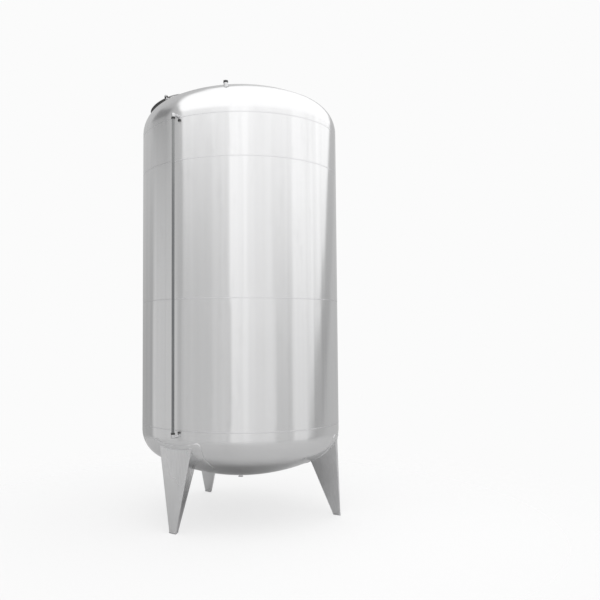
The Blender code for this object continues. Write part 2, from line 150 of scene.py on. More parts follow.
def add_math(tree, operation, first, second=None, third=None, clamp=False):
    """A Math node's output for numbers or sockets."""
    node = tree.nodes.new("ShaderNodeMath")
    node.operation = operation
    node.use_clamp = clamp
    for socket, value in zip(node.inputs, (first, second, third)):
        if value is None:
            continue
        if isinstance(value, (int, float)):
            socket.default_value = value
        else:
            tree.links.new(value, socket)
    return node.outputs[0]


def add_ramp(tree, factor, stops, interpolation="LINEAR"):
    """A grey ColorRamp with (place, brightness) stops, fed by factor."""
    node = tree.nodes.new("ShaderNodeValToRGB")
    ramp = node.color_ramp
    ramp.interpolation = interpolation
    while len(ramp.elements) < len(stops):
        ramp.elements.new(0.5)
    for element, (place, value) in zip(ramp.elements, stops):
        element.position = place
        element.color = (value, value, value, 1.0)
    tree.links.new(factor, node.inputs["Fac"])
    return node.outputs["Color"]


def by_azimuth(pairs):
    """Turn (azimuth in degrees, value) pairs into ramp stops from 0 behind to 1 behind again."""
    return [(0.5 + degrees / 360.0, value) for degrees, value in pairs]


def panel_stops(column):
    """Ramp stops for one column of the hall's panels: level within a panel, with soft edges between."""
    pairs = []
    left_edge = -180.0
    for panel in hall_panels:
        pairs += [(left_edge + panel_edge, panel[column]), (panel[0] - panel_edge, panel[column])]
        left_edge = panel[0]
    return by_azimuth(pairs)


def add_step(tree, value, start, end):
    """0 up to start, 1 from end on, and a soft change between; end may be the smaller one."""
    node = add_node(tree, "ShaderNodeMapRange", interpolation_type="SMOOTHSTEP")
    tree.links.new(value, node.inputs["Value"])
    node.inputs["From Min"].default_value = start
    node.inputs["From Max"].default_value = end
    return node.outputs["Result"]


def add_blend(tree, share, first, second):
    """A colour between two colour outputs."""
    node = add_node(tree, "ShaderNodeMix", data_type="RGBA")
    tree.links.new(share, node.inputs["Factor"])
    tree.links.new(first, node.inputs["A"])
    tree.links.new(second, node.inputs["B"])
    return node.outputs["Result"]


def build_hall():
    """World light: the hall's wall panels, each with a brightness at its foot and at its head, a dark gate
    on the left, upright strips all round, and a white sky over eaves whose height depends on azimuth."""
    world = bpy.data.worlds.new("hall")
    world.use_nodes = True
    tree = world.node_tree
    tree.nodes.clear()
    direction = add_node(tree, "ShaderNodeTexCoord").outputs["Generated"]
    split = add_node(tree, "ShaderNodeSeparateXYZ")
    tree.links.new(direction, split.inputs[0])
    height = split.outputs["Z"]
    backward = add_math(tree, "MULTIPLY", split.outputs["Y"], -1.0)
    azimuth = add_math(tree, "ARCTAN2", split.outputs["X"], backward)
    upright = add_math(tree, "MULTIPLY_ADD", azimuth, 0.5 / math.pi, 0.5)
    # The bright wall's right end leans: it lies further back the higher up it is
    right_end = add_step(tree, azimuth, math.radians(wall_end_start), math.radians(wall_end_full))
    lean = add_math(tree, "MULTIPLY", add_math(tree, "MINIMUM", height, wall_head), right_end)
    turn = add_math(tree, "MULTIPLY_ADD", lean, -wall_end_lean / 360.0, upright)
    low = add_ramp(tree, turn, panel_stops(1))
    high = add_ramp(tree, turn, panel_stops(2))
    # On the left, short of the front, the wall keeps its foot's brightness further up
    from_behind = add_step(tree, azimuth, math.radians(left_rise_start), math.radians(left_rise_full))
    before_front = add_step(tree, azimuth, math.radians(left_rise_end), math.radians(left_rise_fall))
    left_wall = add_math(tree, "MULTIPLY", from_behind, before_front)
    foot_height = add_math(tree, "MULTIPLY_ADD", left_wall, left_foot_rise, wall_foot)
    over_foot = add_math(tree, "SUBTRACT", height, foot_height)
    wall_height = add_math(tree, "SUBTRACT", wall_head, foot_height)
    share_of_head = add_step(tree, add_math(tree, "DIVIDE", over_foot, wall_height), 0.0, 1.0)
    wall = add_blend(tree, share_of_head, low, high)
    # Narrow upright strips, such as posts and door frames, out of a noise along the azimuth
    strips = add_node(tree, "ShaderNodeTexNoise", noise_dimensions="1D", Scale=1.0, Detail=2.0)
    tree.links.new(add_math(tree, "MULTIPLY", azimuth, strips_per_radian), strips.inputs["W"])
    darkest_strip = 1.0 - strip_contrast / 2
    strength = add_math(tree, "MULTIPLY_ADD", strips.outputs["Fac"], strip_contrast, darkest_strip)
    # A dark gate high in the left wall
    gate = add_ramp(tree, upright, by_azimuth(gate_opening))
    above_sill = add_step(tree, height, gate_sill, gate_sill + gate_sill_blur)
    below_lintel = add_step(tree, height, gate_lintel, gate_lintel - gate_lintel_blur)
    inside = add_math(tree, "MULTIPLY", gate, add_math(tree, "MULTIPLY", above_sill, below_lintel))
    gate_strength = add_math(tree, "MULTIPLY_ADD", inside, -gate_darkness, 1.0)
    strength = add_math(tree, "MULTIPLY", strength, gate_strength)
    striped = add_node(tree, "ShaderNodeVectorMath", operation="SCALE")
    tree.links.new(wall, striped.inputs[0])
    tree.links.new(strength, striped.inputs["Scale"])
    # The white sky over the eaves, which are highest behind on the left
    eaves = add_ramp(tree, upright, by_azimuth(eaves_line))
    sky = add_node(tree, "ShaderNodeRGB")
    sky.outputs[0].default_value = (sky_white, sky_white, sky_white, 1.0)
    from_eaves = add_math(tree, "SUBTRACT", height, eaves)
    over_eaves = add_step(tree, from_eaves, -sky_under_eaves, sky_over_eaves)
    hall = add_blend(tree, over_eaves, striped.outputs[0], sky.outputs[0])
    # What the camera sees directly
    seen = add_node(tree, "ShaderNodeLightPath").outputs["Is Camera Ray"]
    shown = add_node(tree, "ShaderNodeMix", data_type="RGBA")
    tree.links.new(seen, shown.inputs["Factor"])
    tree.links.new(hall, shown.inputs["A"])
    shown.inputs["B"].default_value = (backdrop_white, backdrop_white, backdrop_white, 1.0)
    background = add_node(tree, "ShaderNodeBackground")
    tree.links.new(shown.outputs["Result"], background.inputs["Color"])
    output = add_node(tree, "ShaderNodeOutputWorld")
    tree.links.new(background.outputs[0], output.inputs["Surface"])
    bpy.context.scene.world = world


build_hall()


# Floor
# A plain pale floor round the tank that fades out into the backdrop. Toward the camera a large share
# of its brightness is its own glow, so that the shadow stays faint. The steel mirrors it as grey
# concrete, with a painted shadow under the tank.
floor_reach = 6.0
floor_white = 0.86
floor_roughness = 0.85
floor_gloss = 0.2
floor_fade_start = 1.7
floor_fade_end = 4.2
mirrored_fade_start = 3.0
mirrored_fade_end = 4.4
# Brightness of the concrete by the distance from the tank's axis, in shares of the span. Near the axis it
# is darker: a painted shadow under the tank.
mirrored_floor_painted_shadow = [(0.0, 0.40), (0.14, 0.56), (0.3, 0.50)]
mirrored_floor_span = 5.0
glow_share = 0.7


def build_floor():
    """A square of floor whose material turns clear with the distance from the tank's axis."""
    corners = [(-floor_reach, -floor_reach, 0), (floor_reach, -floor_reach, 0),
               (floor_reach, floor_reach, 0), (-floor_reach, floor_reach, 0)]
    mesh = bpy.data.meshes.new("floor")
    mesh.from_pydata(corners, [], [(0, 1, 2, 3)])
    material = bpy.data.materials.new("pale_floor")
    material.use_nodes = True
    tree = material.node_tree
    shader = tree.nodes["Principled BSDF"]
    shader.inputs["Roughness"].default_value = floor_roughness
    shader.inputs["Specular IOR Level"].default_value = floor_gloss
    place = add_node(tree, "ShaderNodeTexCoord").outputs["Object"]
    length = add_node(tree, "ShaderNodeVectorMath", operation="LENGTH")
    tree.links.new(place, length.inputs[0])
    distance = length.outputs["Value"]
    # The camera sees white, and the steel grey concrete with a painted shadow under the tank
    seen = add_node(tree, "ShaderNodeLightPath").outputs["Is Camera Ray"]
    concrete = add_ramp(tree, add_math(tree, "DIVIDE", distance, mirrored_floor_span), mirrored_floor_painted_shadow)
    white = add_node(tree, "ShaderNodeRGB")
    white.outputs[0].default_value = (*[floor_white * (1.0 - glow_share)] * 3, 1.0)
    tree.links.new(add_blend(tree, seen, concrete, white.outputs[0]), shader.inputs["Base Color"])
    shader.inputs["Emission Color"].default_value = (backdrop_white, backdrop_white, backdrop_white, 1.0)
    tree.links.new(add_math(tree, "MULTIPLY", seen, glow_share), shader.inputs["Emission Strength"])
    near = add_step(tree, distance, floor_fade_end, floor_fade_start)
    mirrored_near = add_step(tree, distance, mirrored_fade_end, mirrored_fade_start)
    shown = add_math(tree, "MULTIPLY", seen, near)
    mirrored = add_math(tree, "MULTIPLY", add_math(tree, "SUBTRACT", 1.0, seen), mirrored_near)
    tree.links.new(add_math(tree, "ADD", shown, mirrored), shader.inputs["Alpha"])
    mesh.materials.append(material)
    floor = bpy.data.objects.new("floor", mesh)
    bpy.context.collection.objects.link(floor)


def add_softbox(name, place, aim, size, watts):
    """A square area lamp that lights the floor and the tank but isn't mirrored as a sharp square."""
    lamp_data = bpy.data.lights.new(name, "AREA")
    lamp_data.energy = watts
    lamp_data.size = size
    lamp = bpy.data.objects.new(name, lamp_data)
    back = Vector(place) - Vector(aim)
    lamp.matrix_world = Matrix.Translation(place) @ back.to_track_quat("Z", "Y").to_matrix().to_4x4()
    lamp.visible_camera = False
    lamp.visible_glossy = False
    bpy.context.collection.objects.link(lamp)


build_floor()
add_softbox("overhead_softbox", (1.5, -2.5, 8.0), (0.0, 0.0, 0.5), 7.0, 90.0)


# Shell courses
# Three rings of 4 mm stainless sheet, rolled, butt welded end to end and polished to a mirror.
# Rolling and polishing leave shallow upright waves that draw the reflections out into streaks.
shell_radius = 0.949
plate_thickness = 0.004
weld_gap = 0.0003
bottom_weld_z = 0.885
middle_weld_z = 2.025
upper_weld_z = 3.25
top_weld_z = 3.632
shell_columns = 720
shell_rows = 36
calm_reach = 0.05
wave_counts = np.array([19, 26, 33, 45, 61, 83, 118, 160])
wave_slopes = np.array([4.0, 4.5, 5.0, 5.5, 5.0, 4.5, 4.0, 3.0]) * 1e-3


def around(radius, azimuth, height):
    """Points at a radius and a height, turned by azimuth about the tank's axis: (r sin a, -r cos a, z)."""
    radius, azimuth, height = np.broadcast_arrays(radius, azimuth, height)
    return np.stack([radius * np.sin(azimuth), -radius * np.cos(azimuth), height], axis=-1)


def grid_mesh(name, points, ring=False, loop=True, sharp_degrees=35.0):
    """Quads between neighbours in a (rows, columns, 3) array. loop joins the last column to the first and
    ring the last row to the first. Points that coincide, as at a pole, are merged."""
    rows, columns = points.shape[:2]
    number = np.arange(rows * columns).reshape(rows, columns)
    if loop:
        number = np.concatenate([number, number[:, :1]], axis=1)
    if ring:
        number = np.concatenate([number, number[:1]], axis=0)
    corners = [number[:-1, :-1], number[:-1, 1:], number[1:, 1:], number[1:, :-1]]
    faces = np.stack(corners, axis=-1).reshape(-1, 4)
    mesh = bpy.data.meshes.new(name)
    mesh.from_pydata(points.reshape(-1, 3).tolist(), [], faces.tolist())
    return finish_mesh(mesh, sharp_degrees)


def finish_mesh(mesh, sharp_degrees=35.0):
    """Merge doubled points, turn all faces outwards and shade smooth between sharp edges."""
    bm = bmesh.new()
    bm.from_mesh(mesh)
    bmesh.ops.remove_doubles(bm, verts=bm.verts, dist=2e-6)
    bmesh.ops.recalc_face_normals(bm, faces=bm.faces)
    bm.to_mesh(mesh)
    bm.free()
    mesh.shade_smooth()
    mesh.set_sharp_from_angle(angle=math.radians(sharp_degrees))
    return mesh


def add_piece(mesh, material, slot, *nodes):
    """Put a mesh into the scene as a piece of the tank that stands for those CAD nodes."""
    mesh.materials.append(material)
    piece = bpy.data.objects.new(mesh.name, mesh)
    bpy.context.collection.objects.link(piece)
    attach(piece, "root")
    if nodes:
        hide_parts(*nodes)
    return piece


def joined(name, meshes):
    """One mesh out of several, with their sharp edges kept."""
    bm = bmesh.new()
    for mesh in meshes:
        bm.from_mesh(mesh)
        bpy.data.meshes.remove(mesh)
    mesh = bpy.data.meshes.new(name)
    bm.to_mesh(mesh)
    bm.free()
    return mesh


def plate_waves(azimuth, height, seed):
    """Radius added by the waves of a rolled plate: a sum of cosines round the tank, each with its own
    phase that drifts slowly with height."""
    random = np.random.default_rng(seed)
    phases = random.uniform(0.0, 2.0 * math.pi, wave_counts.size)
    drifts = random.uniform(-0.5, 0.5, wave_counts.size)
    angle = wave_counts * azimuth[..., None] + phases + drifts * height[..., None]
    return (np.cos(angle) * wave_slopes * shell_radius / wave_counts).sum(axis=-1)


def course_grid(low, high, seed):
    """Outer wall upwards and inner wall downwards; the waves die out towards the welds."""
    azimuth = np.linspace(0.0, 2.0 * math.pi, shell_columns, endpoint=False)[None, :]
    share = np.linspace(0.0, 1.0, shell_rows)
    height = (low + (high - low) * share)[:, None]
    edge = np.minimum(height - low, high - height)
    calm = 1.0 - np.exp(-(edge / calm_reach) ** 2)
    azimuth, height = np.broadcast_arrays(azimuth, height)
    outer = around(shell_radius + calm * plate_waves(azimuth, height, seed), azimuth, height)
    inner = around(shell_radius - plate_thickness, azimuth[:2], np.array([[high], [low]]))
    return np.concatenate([outer, inner], axis=0)


def texture_place(tree, scale=(1.0, 1.0, 1.0)):
    """Object coordinates through a Mapping node."""
    place = add_node(tree, "ShaderNodeTexCoord").outputs["Object"]
    mapping = add_node(tree, "ShaderNodeMapping")
    mapping.inputs["Scale"].default_value = scale
    tree.links.new(place, mapping.inputs["Vector"])
    return mapping.outputs["Vector"]


def new_group(name, inputs, outputs):
    """An empty shader node group with named float inputs and outputs, and its two end nodes."""
    group = bpy.data.node_groups.new(name, "ShaderNodeTree")
    for label, value in inputs.items():
        socket = group.interface.new_socket(name=label, in_out="INPUT", socket_type="NodeSocketFloat")
        socket.default_value = value
    for label in outputs:
        group.interface.new_socket(name=label, in_out="OUTPUT", socket_type="NodeSocketFloat")
    start = group.nodes.new("NodeGroupInput")
    end = group.nodes.new("NodeGroupOutput")
    return group, start, end


def build_polish_group():
    """Polishing marks that run round the tank: fine lines out of a noise that changes fast along the
    profile and slowly round it, and wide smears of haze from wiping."""
    outputs = ("Lines", "Haze", "Stain")
    group, start, end = new_group("polishing_marks", {"Line density": 420.0}, outputs)
    place = add_node(group, "ShaderNodeTexCoord").outputs["Object"]
    split = add_node(group, "ShaderNodeSeparateXYZ")
    group.links.new(place, split.inputs[0])
    level = add_node(group, "ShaderNodeCombineXYZ")
    group.links.new(split.outputs["X"], level.inputs["X"])
    group.links.new(split.outputs["Y"], level.inputs["Y"])
    radius = add_node(group, "ShaderNodeVectorMath", operation="LENGTH")
    group.links.new(level.outputs[0], radius.inputs[0])
    backward = add_math(group, "MULTIPLY", split.outputs["Y"], -1.0)
    azimuth = add_math(group, "ARCTAN2", split.outputs["X"], backward)
    run = add_node(group, "ShaderNodeCombineXYZ")
    density = start.outputs["Line density"]
    group.links.new(add_math(group, "MULTIPLY", radius.outputs["Value"], density), run.inputs["X"])
    group.links.new(add_math(group, "MULTIPLY", split.outputs["Z"], density), run.inputs["Y"])
    group.links.new(add_math(group, "MULTIPLY", azimuth, 6.0), run.inputs["Z"])
    lines = add_node(group, "ShaderNodeTexNoise", Scale=1.0, Detail=3.0, Roughness=0.6)
    group.links.new(run.outputs[0], lines.inputs["Vector"])
    group.links.new(lines.outputs["Fac"], end.inputs["Lines"])
    smear = add_node(group, "ShaderNodeTexNoise", Scale=1.0, Detail=4.0, Roughness=0.55, Distortion=0.6)
    group.links.new(texture_place(group, (1.6, 1.6, 0.8)), smear.inputs["Vector"])
    group.links.new(smear.outputs["Fac"], end.inputs["Haze"])
    spots = add_node(group, "ShaderNodeTexNoise", Scale=1.0, Detail=6.0, Roughness=0.7)
    group.links.new(texture_place(group, (9.0, 9.0, 2.2)), spots.inputs["Vector"])
    stain = add_node(group, "ShaderNodeMapRange")
    group.links.new(spots.outputs["Fac"], stain.inputs["Value"])
    stain.inputs["From Min"].default_value = 0.55
    stain.inputs["From Max"].default_value = 0.85
    group.links.new(stain.outputs["Result"], end.inputs["Stain"])
    return group


def build_weld_group():
    """1 on a weld that runs round the tank at a height, and less beside it, down to 0 at the width."""
    group, start, end = new_group("ground_weld", {"Height": 1.0, "Width": 0.02}, ("Nearness",))
    place = add_node(group, "ShaderNodeTexCoord").outputs["Object"]
    split = add_node(group, "ShaderNodeSeparateXYZ")
    group.links.new(place, split.inputs[0])
    above = add_math(group, "SUBTRACT", split.outputs["Z"], start.outputs["Height"])
    share = add_math(group, "DIVIDE", add_math(group, "ABSOLUTE", above), start.outputs["Width"])
    near = add_math(group, "SUBTRACT", 1.0, share, clamp=True)
    group.links.new(near, end.inputs["Nearness"])
    return group


polishing_marks = build_polish_group()
ground_weld = build_weld_group()


def use_group(tree, group, **values):
    """Place a node group and set its inputs by name."""
    node = tree.nodes.new("ShaderNodeGroup")
    node.node_tree = group
    for key, value in values.items():
        node.inputs[key.replace("_", " ")].default_value = value
    return node


def remap(tree, value, low, high, to_low, to_high):
    """Straight line through (low, to_low) and (high, to_high), held at both ends."""
    node = add_node(tree, "ShaderNodeMapRange")
    tree.links.new(value, node.inputs["Value"])
    for label, number in (("From Min", low), ("From Max", high), ("To Min", to_low), ("To Max", to_high)):
        node.inputs[label].default_value = number
    return node.outputs["Result"]


def grey_mix(tree, factor, first, second):
    """A colour between two."""
    node = add_node(tree, "ShaderNodeMix", data_type="RGBA")
    tree.links.new(factor, node.inputs["Factor"])
    for socket, colour in ((node.inputs["A"], first), (node.inputs["B"], second)):
        if isinstance(colour, tuple):
            socket.default_value = (*colour, 1.0)
        else:
            tree.links.new(colour, socket)
    return node.outputs["Result"]


def bump(tree, height, strength, distance):
    """A Bump node's normal."""
    node = add_node(tree, "ShaderNodeBump", Strength=strength, Distance=distance)
    tree.links.new(height, node.inputs["Height"])
    return node.outputs["Normal"]


def polished_steel(name, weld_heights, roughness, bright=(0.86, 0.86, 0.865), line_density=420.0):
    """Mirror polished plate: fine lines round the tank, haze, faint stains and duller welds."""
    material = bpy.data.materials.new(name)
    material.use_nodes = True
    tree = material.node_tree
    shader = tree.nodes["Principled BSDF"]
    shader.inputs["Metallic"].default_value = 1.0
    shader.inputs["Anisotropic"].default_value = 0.85
    shader.inputs["Anisotropic Rotation"].default_value = 0.25
    marks = use_group(tree, polishing_marks, Line_density=line_density)
    near = None
    for height in weld_heights:
        band = use_group(tree, ground_weld, Height=height, Width=0.012).outputs["Nearness"]
        near = band if near is None else add_math(tree, "MAXIMUM", near, band)
    dull = tuple(0.8 * part for part in bright)
    stained = grey_mix(tree, remap(tree, marks.outputs["Stain"], 0.0, 1.0, 0.0, 0.35), bright, dull)
    lined = grey_mix(tree, remap(tree, marks.outputs["Lines"], 0.35, 0.65, 0.0, 0.12), stained, dull)
    rough = remap(tree, marks.outputs["Haze"], 0.35, 0.7, roughness * 0.85, roughness * 1.3)
    if near is not None:
        weld_grey = tuple(0.84 * part for part in bright)
        lined = grey_mix(tree, remap(tree, near, 0.0, 1.0, 0.0, 0.4), lined, weld_grey)
        rough = add_math(tree, "ADD", rough, remap(tree, near, 0.0, 1.0, 0.0, 0.06))
    tree.links.new(lined, shader.inputs["Base Color"])
    tree.links.new(rough, shader.inputs["Roughness"])
    tree.links.new(bump(tree, marks.outputs["Lines"], 0.15, 0.0002), shader.inputs["Normal"])
    return material


girth_welds = (bottom_weld_z, middle_weld_z, upper_weld_z, top_weld_z)
shell_steel = polished_steel("mirror_polished_shell", girth_welds, 0.15)

for name, node, low, high, seed in (
        ("bottom_course_plate", "shell_bottom_course", bottom_weld_z, middle_weld_z, 11),
        ("middle_course_plate", "shell_middle_course", middle_weld_z, upper_weld_z, 12),
        ("top_course_plate", "shell_top_course", upper_weld_z, top_weld_z, 13)):
    plate = grid_mesh(name, course_grid(low + weld_gap / 2, high - weld_gap / 2, seed), ring=True)
    add_piece(plate, shell_steel, "polished_shell", node)


# Welds of the shell
# Each course is closed by one upright weld at the back, and a weld runs round at each joint. They
# are ground low and polished over, so they show as thin duller lines with a slight ripple.
girth_weld_width = 0.006
girth_weld_crest = 0.0004
girth_weld_pitch = 0.017
girth_weld_wander = 0.0006
bead_columns = 1440
seam_azimuths = {
    "bottom": math.radians(142.0), "middle": math.radians(166.0), "top": math.radians(150.0)}
seam_width = 0.007
seam_crest = 0.0007
seam_pitch = 0.011
seam_end_gap = 0.003


def weld_ripple(run, pitch, seed):
    """Height of a bead along its run: small scallops at the welder's pitch and a slow uneven swell."""
    random = np.random.default_rng(seed)
    swell = sum(np.cos(run * rate + random.uniform(0.0, 6.3)) for rate in (9.0, 23.0, 51.0)) / 3.0
    return 1.0 + 0.12 * swell + 0.12 * np.cos(run * 2.0 * math.pi / pitch)


def girth_bead(name, height, seed):
    """An ellipse carried round the tank on the plate's surface, with its crest rippled."""
    turn = np.linspace(0.0, 2.0 * math.pi, bead_columns, endpoint=False)[None, :]
    section = np.linspace(0.0, 2.0 * math.pi, 12, endpoint=False)[:, None]
    crest = girth_weld_crest * 0.8 * weld_ripple(turn * shell_radius, girth_weld_pitch, seed)
    radius = shell_radius + crest * np.cos(section)
    wander = girth_weld_wander * np.cos(turn * 37.0 + seed)
    level = height + wander + girth_weld_width / 2 * np.sin(section)
    return grid_mesh(name, around(radius, turn, level), ring=True)


def seam_bead(name, azimuth, low, high, seed):
    """The same ellipse carried straight up the plate, closed to a point at both ends."""
    share = np.linspace(0.0, 1.0, 160)[:, None]
    section = np.linspace(0.0, 2.0 * math.pi, 12, endpoint=False)[None, :]
    height = low + (high - low) * share
    full = np.clip(40.0 * np.minimum(share, 1.0 - share), 0.0, 1.0)
    crest = seam_crest * full * weld_ripple(height, seam_pitch, seed)
    across = full * seam_width / 2 / shell_radius
    radius = shell_radius + crest * np.cos(section)
    return grid_mesh(name, around(radius, azimuth + across * np.sin(section), height))


def welded_steel(name):
    """Ground weld metal: satin, with a cross grain from the grinding disc."""
    material = bpy.data.materials.new(name)
    material.use_nodes = True
    tree = material.node_tree
    shader = tree.nodes["Principled BSDF"]
    shader.inputs["Metallic"].default_value = 1.0
    scratches = add_node(tree, "ShaderNodeTexNoise", Scale=1.0, Detail=4.0)
    tree.links.new(texture_place(tree, (260.0, 260.0, 90.0)), scratches.inputs["Vector"])
    colour = grey_mix(tree, scratches.outputs["Fac"], (0.68, 0.68, 0.69), (0.84, 0.84, 0.85))
    tree.links.new(colour, shader.inputs["Base Color"])
    rough = remap(tree, scratches.outputs["Fac"], 0.3, 0.7, 0.22, 0.36)
    tree.links.new(rough, shader.inputs["Roughness"])
    tree.links.new(bump(tree, scratches.outputs["Fac"], 0.3, 0.0003), shader.inputs["Normal"])
    return material


weld_metal = welded_steel("ground_weld_metal")
for name, height, seed in (
        ("bottom_head_weld", bottom_weld_z, 21), ("middle_weld", middle_weld_z, 22),
        ("upper_weld", upper_weld_z, 23), ("top_head_weld", top_weld_z, 24)):
    add_piece(girth_bead(name, height, seed), weld_metal, "polished_shell")
for name, low, high, seed in (
        ("bottom", bottom_weld_z, middle_weld_z, 31), ("middle", middle_weld_z, upper_weld_z, 32),
        ("top", upper_weld_z, top_weld_z, 33)):
    foot = low + seam_end_gap
    head = high - seam_end_gap
    seam = seam_bead(name + "_course_seam", seam_azimuths[name], foot, head, seed)
    add_piece(seam, weld_metal, "polished_shell")


# Dished heads
# The roof and the bottom, spun out of the shell's sheet with a tight knuckle and a shallow crown,
# then welded to it. They are polished like the shell, with the lines running in rings.
crown_radius = 1.74
knuckle_radius = 0.275
nominal_radius = 0.95
bottom_tangent_z = 0.82
top_tangent_z = 3.67
knuckle_center = nominal_radius - knuckle_radius
crown_angle = math.asin(knuckle_center / (crown_radius - knuckle_radius))
crown_drop = (crown_radius - knuckle_radius) * math.cos(crown_angle)
head_columns = 480
dent_counts = np.array([5, 8, 13, 21, 34])
dent_depth = 0.00035
dent_full_radius = 0.5
dent_end_radius = 0.93
dent_end_fade = 0.2


def head_curve(offset, flange, knuckle_rows, crown_rows):
    """(radius, height over the tangent line) from the flange's edge to the pole: a straight, an arc of the
    knuckle radius and an arc of the crown radius, all moved out by offset."""
    knuckle_turn = np.linspace(0.0, math.pi / 2 - crown_angle, knuckle_rows)
    crown_turn = np.linspace(crown_angle, 0.0, crown_rows)[1:]
    straight = np.array([[nominal_radius + offset, -flange], [nominal_radius + offset, -flange / 2]])
    knuckle = knuckle_radius + offset
    crown = crown_radius + offset
    bend_radius = knuckle_center + knuckle * np.cos(knuckle_turn)
    bend = np.stack([bend_radius, knuckle * np.sin(knuckle_turn)], axis=-1)
    cap = np.stack([crown * np.sin(crown_turn), crown * np.cos(crown_turn) - crown_drop], axis=-1)
    return np.concatenate([straight, bend, cap], axis=0)


def head_waves(radius, azimuth, seed):
    """Height of the shallow dents that spinning leaves in a head: cosines round it, fading toward the pole
    and the rim."""
    random = np.random.default_rng(seed)
    phases = random.uniform(0.0, 2.0 * math.pi, dent_counts.size)
    drifts = random.uniform(-6.0, 6.0, dent_counts.size)
    angle = dent_counts * azimuth[..., None] + phases + drifts * radius[..., None]
    from_pole = np.clip(radius / dent_full_radius, 0.0, 1.0)
    from_rim = np.clip((dent_end_radius - radius) / dent_end_fade, 0.0, 1.0)
    waves = (np.cos(angle) / np.sqrt(dent_counts)).sum(axis=-1)
    return dent_depth * (from_pole ** 2 * from_rim) * waves


def head_grid(tangent, flange, direction, seed):
    """Outer face from the flange to the pole and inner face back. The direction is 1 for a roof and -1
    for a floor."""
    azimuth = np.linspace(0.0, 2.0 * math.pi, head_columns, endpoint=False)[None, :]
    outer = head_curve(shell_radius - nominal_radius, flange, 26, 48)
    inner = head_curve(shell_radius - nominal_radius - plate_thickness, flange, 8, 14)[::-1]
    radius, turn = np.broadcast_arrays(outer[:, :1], azimuth)
    rise = outer[:, 1:] + head_waves(radius, turn, seed)
    outside = around(radius, turn, tangent + direction * rise)
    inside = around(inner[:, :1], azimuth, tangent + direction * inner[:, 1:])
    return np.concatenate([outside, inside], axis=0)


head_steel = polished_steel("mirror_polished_heads", (bottom_weld_z, top_weld_z), 0.16, line_density=300.0)
top_flange = top_tangent_z - top_weld_z - weld_gap / 2
bottom_flange = bottom_weld_z - weld_gap / 2 - bottom_tangent_z
add_piece(grid_mesh("roof_head", head_grid(top_tangent_z, top_flange, 1.0, 41), ring=True),
          head_steel, "polished_heads", "top_head")
add_piece(grid_mesh("floor_head", head_grid(bottom_tangent_z, bottom_flange, -1.0, 42), ring=True),
          head_steel, "polished_heads", "bottom_head")


# Leg pads
# Doubler plates of the same sheet, bent to the bottom head and welded on all round, that spread the
# load of the legs. Their corners are cut round, widely at the lower end. They are drawn half a
# millimetre thinner than the CAD pads, so that these smooth plates stay within the faceted ones.
pad_thickness = 0.0035
pad_half_angle = math.radians(17.0)
pad_top_z = 0.745
pad_low_radius = 0.62
pad_top_corner = 0.05
pad_low_corner = 0.22
pad_gap = 0.0003
pad_weld_size = 0.0026
pad_weld_lift = 0.0002
leg_azimuths = {
    "front_left": math.radians(-42.0), "front_right": math.radians(78.0), "rear": math.radians(198.0)}


def below_head(points):
    """Signed distance from the bottom head's nominal face, positive outside: to the knuckle's circle
    beyond the crown's angle, to the crown's sphere within it, and to the cylinder above the tangent
    line."""
    radius = np.hypot(points[..., 0], points[..., 1])
    depth = bottom_tangent_z - points[..., 2]
    to_crown = np.hypot(radius, depth + crown_drop) - crown_radius
    to_knuckle = np.hypot(radius - knuckle_center, depth) - knuckle_radius
    in_crown = radius * math.cos(crown_angle) < (depth + crown_drop) * math.sin(crown_angle)
    return np.where(depth < 0.0, radius - nominal_radius, np.where(in_crown, to_crown, to_knuckle))


def head_z(radius, offset):
    """Height of the bottom head's face, moved out by offset, at a distance from the axis."""
    crown = crown_radius + offset
    knuckle = knuckle_radius + offset
    on_crown = bottom_tangent_z - (np.sqrt(np.maximum(crown ** 2 - radius ** 2, 0.0)) - crown_drop)
    on_knuckle = bottom_tangent_z - np.sqrt(np.maximum(knuckle ** 2 - (radius - knuckle_center) ** 2, 0.0))
    return np.where(radius < crown * math.sin(crown_angle), on_crown, on_knuckle)


def eased(outline, cuts, steps):
    """A closed outline (n, 2) with each corner cut back along both sides and bridged by the parabola
    (1-t)^2 a + 2t(1-t) corner + t^2 b."""
    outline = np.asarray(outline, float)
    cuts = np.broadcast_to(np.asarray(cuts, float), (len(outline),))[:, None]
    before = np.roll(outline, 1, axis=0) - outline
    after = np.roll(outline, -1, axis=0) - outline
    before_length = np.linalg.norm(before, axis=1, keepdims=True)
    after_length = np.linalg.norm(after, axis=1, keepdims=True)
    a = outline + before / before_length * np.minimum(cuts, 0.48 * before_length)
    b = outline + after / after_length * np.minimum(cuts, 0.48 * after_length)
    t = np.linspace(0.0, 1.0, steps + 1)[None, :, None]
    curve = (1 - t) ** 2 * a[:, None] + 2 * t * (1 - t) * outline[:, None] + t ** 2 * b[:, None]
    return curve.reshape(-1, 2)


def evenly(outline, count):
    """A closed outline walked off in equal steps of length."""
    closed = np.concatenate([outline, outline[:1]], axis=0)
    run = np.concatenate([[0.0], np.cumsum(np.linalg.norm(np.diff(closed, axis=0), axis=1))])
    walk = np.linspace(0.0, run[-1], count, endpoint=False)
    return np.stack([np.interp(walk, run, closed[:, axis]) for axis in range(closed.shape[1])], axis=-1)


def pad_frame(azimuth):
    """Middle of the pad's flat pattern and its sideways, upward and outward directions."""
    radial = np.array([math.sin(azimuth), -math.cos(azimuth), 0.0])
    side = np.array([math.cos(azimuth), math.sin(azimuth), 0.0])
    top = radial * nominal_radius + np.array([0.0, 0.0, pad_top_z])
    bottom = radial * pad_low_radius + np.array([0.0, 0.0, float(head_z(pad_low_radius, 0.0))])
    up = (top - bottom) / np.linalg.norm(top - bottom)
    return (top + bottom) / 2, side, up, np.cross(side, up), np.linalg.norm(top - bottom)


